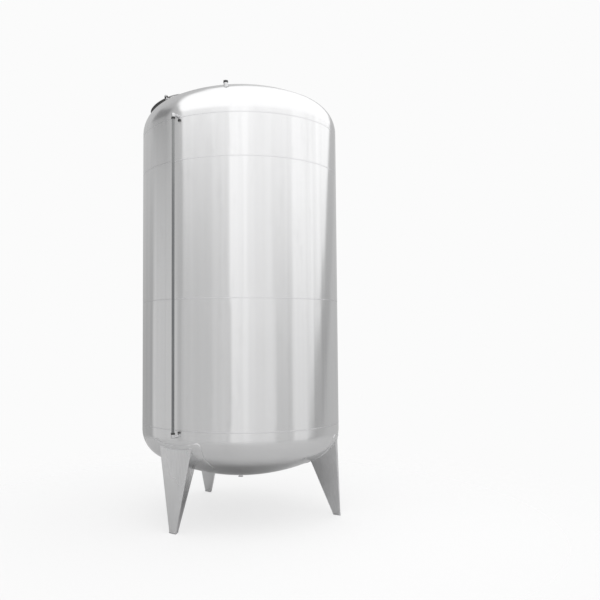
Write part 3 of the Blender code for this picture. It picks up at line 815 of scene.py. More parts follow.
def on_head(flat, frame_of_pad, offset):
    """Carry points of the flat pattern along the outward direction to the head's face moved out by offset,
    by repeated steps of the distance that is left."""
    middle, side, up, outward, _ = frame_of_pad
    points = middle + flat[..., :1] * side + flat[..., 1:] * up
    for _ in range(40):
        points = points + (offset - below_head(points))[..., None] * outward
    return points


def pad_outline(length, count=160):
    """The pad's flat pattern: a rectangle with two sizes of round corner."""
    half_width = nominal_radius * math.sin(pad_half_angle)
    corners = [(half_width, length / 2), (-half_width, length / 2), (-half_width, -length / 2),
               (half_width, -length / 2)]
    cuts = [pad_top_corner, pad_top_corner, pad_low_corner, pad_low_corner]
    return evenly(eased(corners, cuts, 14), count)


def pad_mesh(name, azimuth):
    """Rings of the outline, shrunk towards the middle, on the outer face, then round the edge and back."""
    frame_of_pad = pad_frame(azimuth)
    outline = pad_outline(frame_of_pad[4])
    low = pad_gap
    high = pad_gap + pad_thickness
    shares = [(0.0, high), (0.15, high), (0.35, high), (0.55, high), (0.75, high), (0.9, high),
              (0.985, high), (0.994, high - 0.0003), (0.999, high - 0.0012), (1.0, high - 0.0025),
              (1.0, low), (0.7, low), (0.35, low), (0.0, low)]
    rings = [on_head(outline * share, frame_of_pad, offset) for share, offset in shares]
    return grid_mesh(name, np.stack(rings))


def tube_along(name, path, thickness, sides=10, closed=True, seed=0):
    """A round bead carried along a path: at each point a circle square to the run, its size wavering."""
    ahead = np.roll(path, -1, axis=0)
    behind = np.roll(path, 1, axis=0)
    if not closed:
        ahead[-1] = path[-1]
        behind[0] = path[0]
    along = ahead - behind
    along /= np.linalg.norm(along, axis=1, keepdims=True)
    away = np.array([0.3, 0.2, 1.0])
    first = np.cross(along, away)
    first /= np.linalg.norm(first, axis=1, keepdims=True)
    second = np.cross(along, first)
    random = np.random.default_rng(seed)
    run = np.arange(len(path))
    waver = 1.0 + 0.08 * np.cos(run * 1.9 + seed) + 0.06 * np.cos(run * 0.37 + random.uniform(0.0, 6.0))
    size = (thickness * waver)[None, :, None]
    turn = np.linspace(0.0, 2.0 * math.pi, sides, endpoint=False)[:, None, None]
    points = path[None] + size * (np.cos(turn) * first[None] + np.sin(turn) * second[None])
    if closed:
        return grid_mesh(name, points, ring=True)
    ends = np.broadcast_to(path[[0, -1]][None], (sides, 2, 3))
    points = np.concatenate([ends[:, :1], points, ends[:, 1:]], axis=1)
    return grid_mesh(name, points, ring=True, loop=False)


def fabricated_steel(name, bright, roughness, lines_scale):
    """Polished sheet of the legs, pads and fittings: straight brush lines, haze and a few dull stains."""
    material = bpy.data.materials.new(name)
    material.use_nodes = True
    tree = material.node_tree
    shader = tree.nodes["Principled BSDF"]
    shader.inputs["Metallic"].default_value = 1.0
    lines = add_node(tree, "ShaderNodeTexNoise", Scale=1.0, Detail=4.0, Roughness=0.6)
    tree.links.new(texture_place(tree, lines_scale), lines.inputs["Vector"])
    marks = use_group(tree, polishing_marks, Line_density=120.0)
    dull = tuple(0.74 * part for part in bright)
    lined = grey_mix(tree, remap(tree, lines.outputs["Fac"], 0.35, 0.68, 0.0, 0.3), bright, dull)
    stained = grey_mix(tree, remap(tree, marks.outputs["Stain"], 0.0, 1.0, 0.0, 0.5), lined, dull)
    rough = remap(tree, marks.outputs["Haze"], 0.3, 0.7, roughness * 0.8, roughness * 1.35)
    tree.links.new(stained, shader.inputs["Base Color"])
    tree.links.new(rough, shader.inputs["Roughness"])
    tree.links.new(bump(tree, lines.outputs["Fac"], 0.12, 0.0003), shader.inputs["Normal"])
    return material


pad_steel = fabricated_steel("polished_pad_sheet", (0.87, 0.87, 0.875), 0.22, (60.0, 60.0, 9.0))
fillet_metal = welded_steel("fillet_weld_metal")
for side, azimuth in leg_azimuths.items():
    add_piece(pad_mesh(side + "_pad_plate", azimuth), pad_steel, "polished_pads", side + "_leg_pad")
    frame_of_pad = pad_frame(azimuth)
    edge = on_head(pad_outline(frame_of_pad[4], 260), frame_of_pad, pad_weld_lift)
    add_piece(tube_along(side + "_pad_weld", edge, pad_weld_size, seed=51), fillet_metal, "polished_pads")


# Legs
# Three tapered legs folded from sheet: a wide front face, slightly bowed, and two sides that meet in a
# narrow back edge. Each stands on the pad it is fillet welded to and on a small foot plate.
leg_front_radius = 0.957
leg_front_slope = -0.031
leg_back_radius = 0.89
leg_back_slope = -0.42
leg_width = 0.078
leg_width_slope = 0.415
leg_back_width = 0.012
leg_front_bulge = 0.03
leg_blank_top_z = 0.77
leg_fold_cut = 0.007
leg_back_cut = 0.004
leg_weld_size = 0.0042
foot_plate_thickness = 0.010
foot_plate_margin = 0.002
foot_weld_size = 0.0022
foot_weld_lift = 0.0006


def leg_outline(height, margin=0.0):
    """Outline at one height as (sideways, outwards): a circular arc for the front face and a narrow back,
    with the two folds and the back's corners eased."""
    front = leg_front_radius + leg_front_slope * height + margin
    back = leg_back_radius + leg_back_slope * height - margin
    width = leg_width + leg_width_slope * height + 2 * margin
    bulge = leg_front_bulge * width
    arc = bulge / 2 + width ** 2 / (8 * bulge)
    half = math.asin(width / 2 / arc)
    turn = np.linspace(-half, half, 13)
    face = np.stack([arc * np.sin(turn), front - arc * (1 - np.cos(turn))], axis=-1)
    half_back = leg_back_width / 2 + margin
    outline = np.concatenate([face, [[half_back, back], [-half_back, back]]])
    cuts = np.zeros(len(outline))
    cuts[[0, 12]] = leg_fold_cut
    cuts[[13, 14]] = leg_back_cut
    return eased(outline, cuts, 5)


def to_leg(outline, azimuth, height):
    """(sideways, outwards) points at a height, turned to a leg's azimuth."""
    sideways = outline[..., 0]
    outwards = outline[..., 1]
    x = sideways * math.cos(azimuth) + outwards * math.sin(azimuth)
    y = sideways * math.sin(azimuth) - outwards * math.cos(azimuth)
    return np.stack(np.broadcast_arrays(x, y, height), axis=-1)


def leg_top(foot, crest, offset):
    """Where each straight line from the foot's outline to the blank's top meets the head's face moved out
    by offset, found by halving the interval."""
    low = np.zeros(len(foot))
    high = np.ones(len(foot))
    for _ in range(40):
        middle = (low + high) / 2
        points = foot + middle[:, None] * (crest - foot)
        outside = below_head(points) > offset
        low = np.where(outside, middle, low)
        high = np.where(outside, high, middle)
    return low


def leg_mesh(name, azimuth):
    """Straight lines from foot to pad, a closed sole, and a top that lies on the pad."""
    offset = 2 * pad_gap + pad_thickness
    floor_z = foot_plate_thickness + pad_gap
    foot = to_leg(leg_outline(floor_z), azimuth, floor_z)
    crest = to_leg(leg_outline(leg_blank_top_z), azimuth, leg_blank_top_z)
    meet = leg_top(foot, crest, offset)
    share = np.linspace(0.0, 1.0, 25)[:, None, None]
    walls = foot[None] + share * meet[None, :, None] * (crest - foot)[None]
    rim = walls[-1]
    shrink = np.array([0.97, 0.8, 0.6, 0.4, 0.2, 0.0])[:, None, None]
    middle = rim.mean(axis=0)
    lid = middle[None, None] + shrink * (rim - middle)[None]
    lid[..., 2] = head_z(np.hypot(lid[..., 0], lid[..., 1]), offset)
    center = foot.mean(axis=0)
    sole = center[None, None] + np.array([0.0, 0.6])[:, None, None] * (foot - center)[None]
    return grid_mesh(name, np.concatenate([sole, walls, lid]), sharp_degrees=50.0), rim


def foot_plate_mesh(name, azimuth):
    """The leg's outline grown by the margin, with its upper and lower edges eased."""
    outline = leg_outline(0.0, foot_plate_margin)
    middle = outline.mean(axis=0)
    top = foot_plate_thickness
    levels = [(0.0, 0.0), (0.97, 0.0), (1.0, 0.001), (1.0, top - 0.0015), (0.985, top - 0.0003),
              (0.96, top), (0.0, top)]
    rings = [to_leg(middle + (outline - middle) * share, azimuth, height) for share, height in levels]
    return grid_mesh(name, np.stack(rings))


leg_steel = fabricated_steel("polished_leg_sheet", (0.86, 0.86, 0.865), 0.24, (70.0, 70.0, 7.0))
plate_steel = fabricated_steel("satin_foot_plate", (0.52, 0.52, 0.53), 0.42, (220.0, 30.0, 220.0))
for side, azimuth in leg_azimuths.items():
    leg, rim = leg_mesh(side + "_folded_leg", azimuth)
    add_piece(leg, leg_steel, "polished_legs", side + "_leg")
    leg_weld = tube_along(side + "_leg_weld", evenly(rim, 240), leg_weld_size, seed=61)
    add_piece(leg_weld, fillet_metal, "polished_legs")
    sole_plate = foot_plate_mesh(side + "_sole_plate", azimuth)
    add_piece(sole_plate, plate_steel, "foot_plates", side + "_foot_plate")
    seat_z = foot_plate_thickness + foot_weld_lift
    toe = evenly(to_leg(leg_outline(seat_z), azimuth, seat_z), 90)
    add_piece(tube_along(side + "_foot_weld", toe, foot_weld_size, seed=71), fillet_metal, "foot_plates")


# Manhole
# On the roof's left side, square to the dome: a rolled neck with a flat rim, a rubber gasket, and a
# dished cover, held down by three bolts through paired ears. A bent rod is welded on as the handle.
manhole_azimuth = math.radians(-102.0)
manhole_axis_radius = 0.68
neck_radius = 0.180
neck_inside = 0.030
neck_height = 0.054
neck_weld_size = 0.0045
rim_radius = 0.200
rim_thickness = 0.006
gasket_radius = 0.206
gasket_thickness = 0.022
gasket_bulge = 0.003
cover_radius = 0.210
cover_thickness = 0.005
cover_dish = 0.016
cover_dish_foot = 0.168
ear_reach = 0.250
ear_root = 0.188
ear_width = 0.036
ear_corner = 0.014
ear_root_corner = 0.002
ear_hole_radius = 0.0075
bolt_axis_radius = 0.232
bolt_angles = {"front": math.radians(95.0), "inner": math.radians(215.0), "rear": math.radians(335.0)}
joint_gap = 0.0003
gasket_low = neck_height + joint_gap
gasket_high = gasket_low + gasket_thickness
cover_low = gasket_high + joint_gap
cover_high = cover_low + cover_thickness
turned_columns = 144


def manhole_frame():
    """Directions out, across and up of the manhole as rows, and its foot on the dome's face. Out points
    down the slope, away from the tank's axis, and up is square to the dome."""
    tilt = math.asin(manhole_axis_radius / crown_radius)
    radial = np.array([math.sin(manhole_azimuth), -math.cos(manhole_azimuth), 0.0])
    vertical = np.array([0.0, 0.0, 1.0])
    out = math.cos(tilt) * radial - math.sin(tilt) * vertical
    up = math.sin(tilt) * radial + math.cos(tilt) * vertical
    foot_z = top_tangent_z + math.sqrt(crown_radius ** 2 - manhole_axis_radius ** 2) - crown_drop
    foot = manhole_axis_radius * radial + foot_z * vertical
    return np.stack([out, np.cross(up, out), up]), foot


manhole_axes, manhole_foot = manhole_frame()


def on_manhole(points):
    """Points in the manhole's own axes, carried to the tank."""
    return points @ manhole_axes + manhole_foot


def turned_grid(profile, columns=turned_columns):
    """(radius, height) rows swept round the Z axis: (r cos a, r sin a, h)."""
    turn = np.linspace(0.0, 2.0 * math.pi, columns, endpoint=False)[None, :]
    radius = np.asarray(profile)[:, :1]
    height = np.broadcast_to(np.asarray(profile)[:, 1:], (len(profile), columns))
    return np.stack([radius * np.cos(turn), radius * np.sin(turn), height], axis=-1)


def turned_mesh(name, profile, place, columns=turned_columns, sharp_degrees=35.0):
    """A closed profile swept to a ring or a disc and set in its place."""
    return grid_mesh(name, place(turned_grid(profile, columns)), ring=True, sharp_degrees=sharp_degrees)


def drilled_ear(name, low, high, angle):
    """A plate with a rounded end and a bolt hole: the outline round its edge, then a circle for the hole
    whose points lie on the same rays from the hole's middle as those of the outline."""
    half = ear_width / 2
    corners = [(ear_reach, half), (ear_root, half), (ear_root, -half), (ear_reach, -half)]
    cuts = [ear_corner, ear_root_corner, ear_root_corner, ear_corner]
    outer = evenly(eased(corners, cuts, 10), 64)
    hole = np.array([bolt_axis_radius, 0.0])
    ray = outer - hole
    inner = hole + ray / np.linalg.norm(ray, axis=1, keepdims=True) * ear_hole_radius
    inset = outer + (hole - outer) * 0.03
    rows = [(inset, low), (outer, low + 0.0008), (outer, high - 0.0008), (inset, high), (inner, high),
            (inner, low)]
    rings = []
    for flat, height in rows:
        x = flat[:, 0] * math.cos(angle) - flat[:, 1] * math.sin(angle)
        y = flat[:, 0] * math.sin(angle) + flat[:, 1] * math.cos(angle)
        rings.append(np.stack([x, y, np.full(len(flat), height)], axis=-1))
    return grid_mesh(name, on_manhole(np.stack(rings)), ring=True)


def dish_height(radius):
    """Height of the cover's dished middle over its flat border: a parabola down to its foot."""
    return cover_dish * np.clip(1.0 - (radius / cover_dish_foot) ** 2, 0.0, 1.0)


def cover_profile():
    """Under face outwards from the axis, the rolled edge, and the upper face back to the axis."""
    radius = np.concatenate([np.linspace(0.0, cover_dish_foot, 22), [0.172, 0.19]])
    under = np.stack([radius, cover_low + dish_height(radius)], axis=-1)
    edge = np.array([[cover_radius - 0.0016, cover_low], [cover_radius - 0.0004, cover_low + 0.0008],
                     [cover_radius, cover_low + 0.0025], [cover_radius - 0.0004, cover_high - 0.0008],
                     [cover_radius - 0.0016, cover_high]])
    over = under[::-1] + np.array([0.0, cover_thickness])
    return np.concatenate([under, edge, over])


def neck_profile():
    """Rolled neck with its welded flat rim, all edges eased."""
    inner = neck_radius - plate_thickness
    low_rim = neck_height - rim_thickness
    corners = [(rim_radius, neck_height), (rim_radius, low_rim), (neck_radius, low_rim),
               (neck_radius, -neck_inside), (inner, -neck_inside), (inner, neck_height)]
    return eased(corners, [0.0015, 0.0015, 0.004, 0.001, 0.001, 0.0015], 4)


def gasket_profile():
    """A flat ring whose outer face bulges where the cover squeezes it."""
    rise = np.linspace(0.0, math.pi, 9)
    side = np.stack([gasket_radius - gasket_bulge * (1.0 - np.sin(rise)),
                     gasket_low + gasket_thickness * (1 - np.cos(rise)) / 2], axis=-1)
    inner = neck_radius - plate_thickness
    return np.concatenate([side, [[inner, gasket_high], [inner, gasket_low]]])


def dome_z(radius):
    """Height of the roof's crown at a distance from the axis."""
    return top_tangent_z + np.sqrt((crown_radius - 0.001) ** 2 - radius ** 2) - crown_drop


def ring_on_dome(center, radius_of_ring, axes=None, count=200):
    """Where an upright or tilted tube of a radius meets the roof: a circle in the tube's axes, slid along
    the tube by repeated steps until it lies on the dome's sphere."""
    axes = np.eye(3) if axes is None else axes
    turn = np.linspace(0.0, 2.0 * math.pi, count, endpoint=False)[:, None]
    points = center + radius_of_ring * (np.cos(turn) * axes[0] + np.sin(turn) * axes[1])
    sphere = np.array([0.0, 0.0, top_tangent_z - crown_drop])
    for _ in range(30):
        short = (crown_radius - 0.001) - np.linalg.norm(points - sphere, axis=1, keepdims=True)
        points = points + short * axes[2]
    return points


def rubber(name, grey, roughness, pale_from=None):
    """Moulded rubber or plastic: a fine skin texture, dust in patches and a soft sheen. If the last
    argument is given, from that x on, toward the middle of the roof, its colour is a plain pale grey."""
    material = bpy.data.materials.new(name)
    material.use_nodes = True
    tree = material.node_tree
    shader = tree.nodes["Principled BSDF"]
    skin = add_node(tree, "ShaderNodeTexNoise", Scale=1.0, Detail=5.0)
    tree.links.new(texture_place(tree, (500.0, 500.0, 500.0)), skin.inputs["Vector"])
    dust = add_node(tree, "ShaderNodeTexNoise", Scale=1.0, Detail=3.0)
    tree.links.new(texture_place(tree, (30.0, 30.0, 30.0)), dust.inputs["Vector"])
    shade = remap(tree, dust.outputs["Fac"], 0.4, 0.75, 0.0, 0.6)
    colour = grey_mix(tree, shade, (grey, grey, grey), (grey + 0.07, grey + 0.07, grey + 0.068))
    # From that x on, toward the roof's middle, the colour turns a plain pale grey
    if pale_from is not None:
        place = add_node(tree, "ShaderNodeSeparateXYZ")
        tree.links.new(texture_place(tree), place.inputs[0])
        pale_grey = add_node(tree, "ShaderNodeRGB")
        pale_grey.outputs[0].default_value = (0.55, 0.55, 0.55, 1.0)
        pale_share = add_step(tree, place.outputs["X"], pale_from, pale_from + 0.04)
        colour = add_blend(tree, pale_share, colour, pale_grey.outputs[0])
    tree.links.new(colour, shader.inputs["Base Color"])
    tree.links.new(remap(tree, skin.outputs["Fac"], 0.3, 0.7, roughness - 0.08, roughness + 0.1),
                   shader.inputs["Roughness"])
    tree.links.new(bump(tree, skin.outputs["Fac"], 0.25, 0.0004), shader.inputs["Normal"])
    return material


fitting_steel = fabricated_steel("polished_fitting_steel", (0.72, 0.72, 0.725), 0.2, (180.0, 180.0, 60.0))
cover_steel = fabricated_steel("spun_cover_steel", (0.50, 0.50, 0.505), 0.3, (90.0, 90.0, 25.0))
# The gasket is a plain pale grey from x = -0.71 on, toward the roof's middle
gasket_rubber = rubber("gasket_rubber", 0.04, 0.55, pale_from=-0.71)

neck_parts = [turned_mesh("neck_ring", neck_profile(), on_manhole)]
cover_parts = [turned_mesh("cover_disc", cover_profile(), on_manhole)]
for side, angle in bolt_angles.items():
    neck_parts.append(drilled_ear("neck_ear", neck_height - rim_thickness, neck_height, angle))
    cover_parts.append(drilled_ear("cover_ear", cover_low, cover_high, angle))
add_piece(joined("manhole_neck_ring", neck_parts), fitting_steel, "steel_fittings", "manhole_neck")
add_piece(joined("manhole_cover_disc", cover_parts), cover_steel, "steel_fittings", "manhole_cover")
add_piece(turned_mesh("manhole_gasket_ring", gasket_profile(), on_manhole), gasket_rubber, "black_rubber",
          "manhole_gasket")
neck_weld_path = ring_on_dome(manhole_foot, neck_radius + 0.001, manhole_axes)
neck_weld = tube_along("manhole_neck_weld", neck_weld_path, neck_weld_size, seed=81)
add_piece(neck_weld, fillet_metal, "steel_fittings")


# Manhole bolts
# Dull stainless hexagon bolts put in from below, each with a washer and a nut on the cover's ear.
bolt_shank_radius = 0.006
bolt_head_radius = 0.012
bolt_head_height = 0.009
nut_radius = 0.015
nut_height = 0.012
washer_thickness = 0.002
thread_pitch = 0.00175
thread_end = 0.0038


def hexagon_rows(corner_radius, low, high, chamfer=0.0012):
    """A hexagon from face to face: at each angle the smaller of the flat's distance and the row's own
    limiting circle, which is what turning the corners off does."""
    turn = np.linspace(0.0, 2.0 * math.pi, 72, endpoint=False)
    apothem = corner_radius * math.cos(math.pi / 6)
    flat = apothem / np.cos((turn + math.pi / 6) % (math.pi / 3) - math.pi / 6)
    limits = [(apothem * 0.96, low), (corner_radius, low + chamfer), (corner_radius, high - chamfer),
              (apothem * 0.96, high)]
    rows = []
    for limit, height in limits:
        radius = np.minimum(flat, limit)
        rows.append(np.stack([radius * np.cos(turn), radius * np.sin(turn), np.full(72, height)], axis=-1))
    middle_low = np.zeros((72, 3)) + [0.0, 0.0, low]
    middle_high = np.zeros((72, 3)) + [0.0, 0.0, high]
    return np.stack([middle_low] + rows + [middle_high])


def threaded_end(low, high):
    """A shank whose radius goes up and down with the thread's pitch, with a flat end."""
    height = np.linspace(low, high, 40)
    depth = 0.0006 * (0.5 + 0.5 * np.cos(2.0 * math.pi * (height - low) / thread_pitch))
    side = np.stack([bolt_shank_radius - depth, height], axis=-1)
    return turned_grid(np.concatenate([[[0.0, low]], side, [[0.0, high]]]), 36)


def bolt_mesh(name, angle):
    """Head, shank, washer and nut in one mesh, moved out to the bolt's axis."""
    def place(points):
        """Points about the bolt's axis, carried to the tank."""
        x = points[..., 0] + bolt_axis_radius * math.cos(angle)
        y = points[..., 1] + bolt_axis_radius * math.sin(angle)
        return on_manhole(np.stack([x, y, points[..., 2]], axis=-1))

    under = neck_height - rim_thickness - joint_gap
    washer_low = cover_high + joint_gap
    nut_low = washer_low + washer_thickness
    nut_high = washer_low + nut_height
    washer = eased([(0.0, washer_low), (nut_radius, washer_low), (nut_radius, nut_low), (0.0, nut_low)],
                   [0.0, 0.0005, 0.0005, 0.0], 3)
    return joined(name, [
        grid_mesh("head", place(hexagon_rows(bolt_head_radius, under - bolt_head_height, under))),
        turned_mesh("washer", washer, place, 48),
        grid_mesh("nut", place(hexagon_rows(0.92 * nut_radius, nut_low, nut_high))),
        grid_mesh("shank", place(threaded_end(under, nut_high + thread_end)))])


bolt_steel = fabricated_steel("dull_bolt_steel", (0.66, 0.66, 0.665), 0.45, (400.0, 400.0, 400.0))
for side, angle in bolt_angles.items():
    add_piece(bolt_mesh("manhole_bolt_" + side, angle), bolt_steel, "clamp_bolts", "manhole_clamp_" + side)


# Manhole handle
# A 12 mm rod bent to a low bow, with both feet welded to the dished cover.
handle_half_span = 0.070
handle_rise = 0.050
handle_rod_radius = 0.006
handle_bend = 0.018
handle_weld_size = 0.0022


def handle_path():
    """Up, round a quarter circle, across, round another one and down, in the plane across the slope."""
    low = cover_high + float(dish_height(handle_half_span)) + 0.0002
    high = low + handle_rise
    turn = np.linspace(0.0, math.pi / 2, 14)
    rise = np.stack([np.full(4, -handle_half_span), np.linspace(low, high - handle_bend, 5)[:-1]], axis=-1)
    bend = np.stack([-handle_half_span + handle_bend * (1 - np.cos(turn)),
                     high - handle_bend * (1 - np.sin(turn))], axis=-1)
    half = np.concatenate([rise, bend, [[-0.02, high]]])
    whole = np.concatenate([half, half[::-1] * np.array([-1.0, 1.0])])
    return np.stack([np.zeros(len(whole)), whole[:, 0], whole[:, 1]], axis=-1)


def rod_mesh(name, path, radius, place, sides=20):
    """A round rod along a flat path: circles spanned by the plane's normal and the path's own normal."""
    along = np.gradient(path, axis=0)
    along /= np.linalg.norm(along, axis=1, keepdims=True)
    side = np.array([1.0, 0.0, 0.0])
    across = np.cross(along, side)
    turn = np.linspace(0.0, 2.0 * math.pi, sides, endpoint=False)[None, :, None]
    rings = path[:, None] + radius * (np.cos(turn) * side + np.sin(turn) * across[:, None])
    ends = np.broadcast_to(path[[0, -1]][:, None], (2, sides, 3))
    return grid_mesh(name, place(np.concatenate([ends[:1], rings, ends[1:]])))


def small_ring(center, radius, count=48):
    """A level circle in the manhole's axes."""
    turn = np.linspace(0.0, 2.0 * math.pi, count, endpoint=False)
    return np.stack([center[0] + radius * np.cos(turn), center[1] + radius * np.sin(turn),
                     np.full(count, center[2])], axis=-1)


satin_rod_steel = fabricated_steel("satin_rod_steel", (0.90, 0.90, 0.90), 0.5, (180.0, 180.0, 60.0))
add_piece(rod_mesh("manhole_handle_rod", handle_path(), handle_rod_radius, on_manhole), satin_rod_steel,
          "steel_fittings", "manhole_handle")
handle_feet = []
for end in (-handle_half_span, handle_half_span):
    foot_center = (0.0, end, cover_high + float(dish_height(handle_half_span)) + 0.0006)
    foot_ring = on_manhole(small_ring(foot_center, handle_rod_radius))
    handle_feet.append(tube_along("handle_foot", foot_ring, handle_weld_size, seed=91))
add_piece(joined("manhole_handle_welds", handle_feet), fillet_metal, "steel_fittings")


# Top nozzle
# A short 38 mm tube welded through the roof near its front edge, closed by a dark push-on cap.
tube_radius = 0.019
tube_wall = 0.002
tube_inside = 0.006
nozzle_azimuth = math.radians(-12.5)
nozzle_axis_radius = 0.785
nozzle_top_z = 3.960
cap_rim = 0.002
cap_thickness = 0.005
cap_skirt = 0.014
nozzle_weld_size = 0.003
nozzle_center = around(nozzle_axis_radius, nozzle_azimuth, 0.0)


def at_nozzle(points):
    """Points about the nozzle's own axis, carried to it."""
    return points + nozzle_center


nozzle_low = float(dome_z(nozzle_axis_radius + tube_radius)) - plate_thickness - tube_inside
tube_bore = tube_radius - tube_wall
nozzle_profile = eased([(tube_radius, nozzle_top_z), (tube_radius, nozzle_low), (tube_bore, nozzle_low),
                        (tube_bore, nozzle_top_z)], 0.0006, 3)
cap_inside = tube_radius + joint_gap
cap_outside = cap_inside + cap_rim
cap_under = nozzle_top_z + joint_gap
cap_profile = eased(
    [(0.0, cap_under), (cap_inside, cap_under), (cap_inside, nozzle_top_z - cap_skirt),
     (cap_outside, nozzle_top_z - cap_skirt), (cap_outside, cap_under + cap_thickness),
     (0.0, cap_under + cap_thickness)], [0.0, 0.0005, 0.0005, 0.0006, 0.0018, 0.0], 5)
add_piece(turned_mesh("top_nozzle_tube", nozzle_profile, at_nozzle, 72), fitting_steel, "steel_fittings",
          "top_nozzle")
cap_plastic = rubber("dark_cap_plastic", 0.06, 0.45)
add_piece(turned_mesh("top_nozzle_push_cap", cap_profile, at_nozzle, 72), cap_plastic, "black_cap",
          "top_nozzle_cap")
nozzle_weld_path = ring_on_dome(nozzle_center + [0.0, 0.0, nozzle_low], tube_radius + 0.0005, count=90)
nozzle_weld = tube_along("top_nozzle_weld", nozzle_weld_path, nozzle_weld_size, seed=95)
add_piece(nozzle_weld, fillet_metal, "steel_fittings")


# Drain
# The same tube through the lowest point of the bottom, with a pipe ferrule at its open end.
ferrule_radius = 0.02525
ferrule_thickness = 0.004
ferrule_neck = 0.006
drain_weld_size = 0.0032
drain_end_z = 0.335
drain_top_z = float(head_z(0.0, 0.0)) + plate_thickness + tube_inside


def drain_profile():
    """Tube outside down to the ferrule's sloped back, its rounded edge, the open face and the bore."""
    back_z = drain_end_z + ferrule_thickness
    corners = [(tube_radius, drain_top_z), (tube_radius, back_z + ferrule_neck),
               (tube_radius + 0.001, back_z + 0.001), (ferrule_radius, back_z - 0.0008),
               (ferrule_radius, drain_end_z), (tube_bore, drain_end_z), (tube_bore, drain_top_z)]
    return eased(corners, [0.0006, 0.003, 0.001, 0.0012, 0.0008, 0.0006, 0.0006], 4)


def as_is(points):
    """The drain lies on the tank's own axis, so its points stay where they are."""
    return points


add_piece(turned_mesh("drain_tube", drain_profile(), as_is, 96), fitting_steel, "steel_fittings",
          "drain_nozzle")
drain_weld_path = small_ring((0.0, 0.0, float(head_z(tube_radius, 0.0))), tube_radius + 0.0005, 90)
drain_weld = tube_along("drain_weld", drain_weld_path, drain_weld_size, seed=97)
add_piece(drain_weld, fillet_metal, "steel_fittings")


# Level gauge
# A sight tube of clear plastic, gone dull and mostly full, between two fittings on the shell. A dark
# gland nut holds each end of the tube. It stands over the front left leg.
gauge_azimuth = math.radians(-39.0)
gauge_low_z = 0.845
gauge_high_z = 3.638
gauge_standoff = 0.045
gauge_shift = -0.011
gauge_tube_radius = 0.0125
gauge_nipple_radius = 0.011
gauge_block_radius = 0.019
gauge_block_length = 0.050
gauge_socket_depth = 0.014
gauge_gland_height = 0.016
gauge_wet_z = 2.9
gauge_dry_z = 3.35
gauge_flat = nominal_radius * math.cos(math.radians(3.0)) + joint_gap
gauge_axis_radius = gauge_flat + gauge_standoff
gauge_radial = np.array([math.sin(gauge_azimuth), -math.cos(gauge_azimuth), 0.0])
gauge_side = np.array([math.cos(gauge_azimuth), math.sin(gauge_azimuth), 0.0])


def at_gauge(points):
    """(sideways, outwards, height) about the gauge tube's axis, carried to the tank."""
    return (gauge_radial * gauge_axis_radius + (points[..., :1] + gauge_shift) * gauge_side
            + points[..., 1:2] * gauge_radial + points[..., 2:] * np.array([0.0, 0.0, 1.0]))


def along_nipple(height):
    """A placing function that lays the Z axis of a turned piece along the nipple, from tube to shell."""
    def place(points):
        """The turned piece's points, laid over and set at the nipple's height."""
        laid = np.stack([points[..., 0], -points[..., 2], points[..., 1] + height], axis=-1)
        return at_gauge(laid)
    return place


def gauge_fitting(name, height, inward):
    """Turned block with an eased end, a nipple to the shell, and a collar where it meets the shell."""
    block_low = -gauge_block_length / 2
    shoulder = gauge_block_length / 2 - gauge_gland_height
    profile = eased([(0.0, block_low), (0.8 * gauge_block_radius, block_low),
                     (gauge_block_radius, block_low + 0.004), (gauge_block_radius, shoulder),
                     (0.86 * gauge_block_radius, shoulder + 0.001), (0.0, shoulder + 0.001)],
                    [0.0, 0.001, 0.001, 0.0008, 0.0008, 0.0], 3)
    profile = profile * np.array([1.0, inward]) + np.array([0.0, height])
    nipple_z = height - inward * gauge_block_length / 4
    reach = gauge_standoff + joint_gap
    nipple = eased([(0.0, 0.0), (gauge_nipple_radius, 0.0), (gauge_nipple_radius, reach), (0.0, reach)],
                   [0.0, 0.0005, 0.0005, 0.0], 3)
    collar = eased([(0.0, reach - 0.005), (1.5 * gauge_nipple_radius, reach - 0.005),
                    (1.5 * gauge_nipple_radius, reach + 0.0012), (0.0, reach + 0.0012)],
                   [0.0, 0.0012, 0.0005, 0.0], 3)
    return joined(name, [
        turned_mesh("block", profile, at_gauge, 48),
        turned_mesh("nipple", nipple, along_nipple(nipple_z), 40),
        turned_mesh("collar", collar, along_nipple(nipple_z), 48)])


def gland_nut(name, height, inward):
    """A hexagonal gland nut over the end of the tube."""
    low = gauge_block_length / 2 - gauge_gland_height + 0.0012
    high = gauge_block_length / 2
    rows = hexagon_rows(0.98 * gauge_block_radius, low, high, 0.0015) * np.array([1.0, 1.0, inward])
    return grid_mesh(name, at_gauge(rows + np.array([0.0, 0.0, height])))


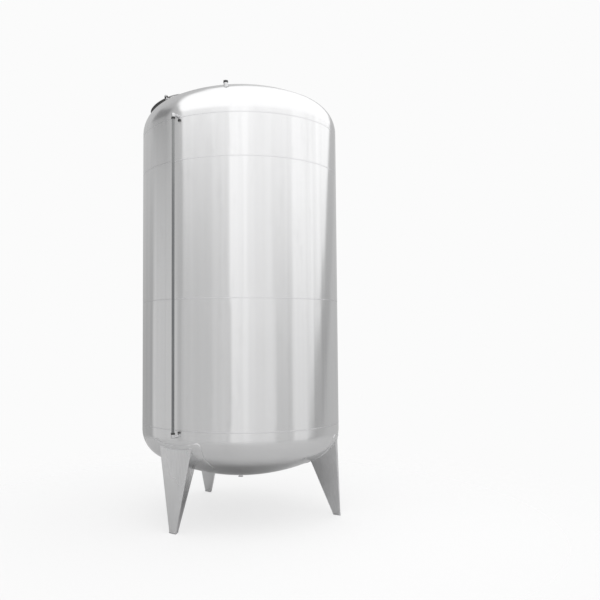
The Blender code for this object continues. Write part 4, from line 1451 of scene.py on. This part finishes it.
def dull_clear_plastic(name):
    """Aged clear tube: grey and cloudy in patches, and darker up to the height where water stands."""
    material = bpy.data.materials.new(name)
    material.use_nodes = True
    tree = material.node_tree
    shader = tree.nodes["Principled BSDF"]
    split = add_node(tree, "ShaderNodeSeparateXYZ")
    tree.links.new(texture_place(tree), split.inputs[0])
    cloud = add_node(tree, "ShaderNodeTexNoise", Scale=1.0, Detail=4.0)
    tree.links.new(texture_place(tree, (40.0, 40.0, 5.0)), cloud.inputs["Vector"])
    wet = remap(tree, split.outputs["Z"], gauge_dry_z, gauge_wet_z, 0.0, 1.0)
    base = grey_mix(tree, wet, (0.25, 0.255, 0.255), (0.15, 0.155, 0.16))
    cloudy = remap(tree, cloud.outputs["Fac"], 0.4, 0.7, 0.0, 0.4)
    colour = grey_mix(tree, cloudy, base, (0.22, 0.225, 0.225))
    tree.links.new(colour, shader.inputs["Base Color"])
    tree.links.new(remap(tree, cloud.outputs["Fac"], 0.3, 0.7, 0.12, 0.3), shader.inputs["Roughness"])
    shader.inputs["IOR"].default_value = 1.5
    shader.inputs["Coat Weight"].default_value = 0.4
    shader.inputs["Coat Roughness"].default_value = 0.08
    return material


gland_plastic = rubber("black_gland_plastic", 0.02, 0.35)
tube_plastic = dull_clear_plastic("dull_clear_tube")
tube_low = gauge_low_z + gauge_block_length / 2 - gauge_socket_depth + joint_gap
tube_high = gauge_high_z - gauge_block_length / 2 + gauge_socket_depth - joint_gap
for side, height, inward in (("bottom", gauge_low_z, 1.0), ("top", gauge_high_z, -1.0)):
    add_piece(gauge_fitting("gauge_" + side + "_block", height, inward), fitting_steel, "steel_fittings",
              "level_gauge_" + side + "_fitting")
    add_piece(gland_nut("gauge_" + side + "_gland", height, inward), gland_plastic, "black_rubber")
sight_profile = eased([(0.0, tube_low), (gauge_tube_radius, tube_low), (gauge_tube_radius, tube_high),
                       (0.0, tube_high)], [0.0, 0.0006, 0.0006, 0.0], 3)
sight_tube = add_piece(turned_mesh("gauge_sight_tube", sight_profile, at_gauge, 40), tube_plastic,
                       "clear_tube", "level_gauge_tube")
# Its mirror image can't be made out on the real shell, so it is left out
sight_tube.visible_glossy = False
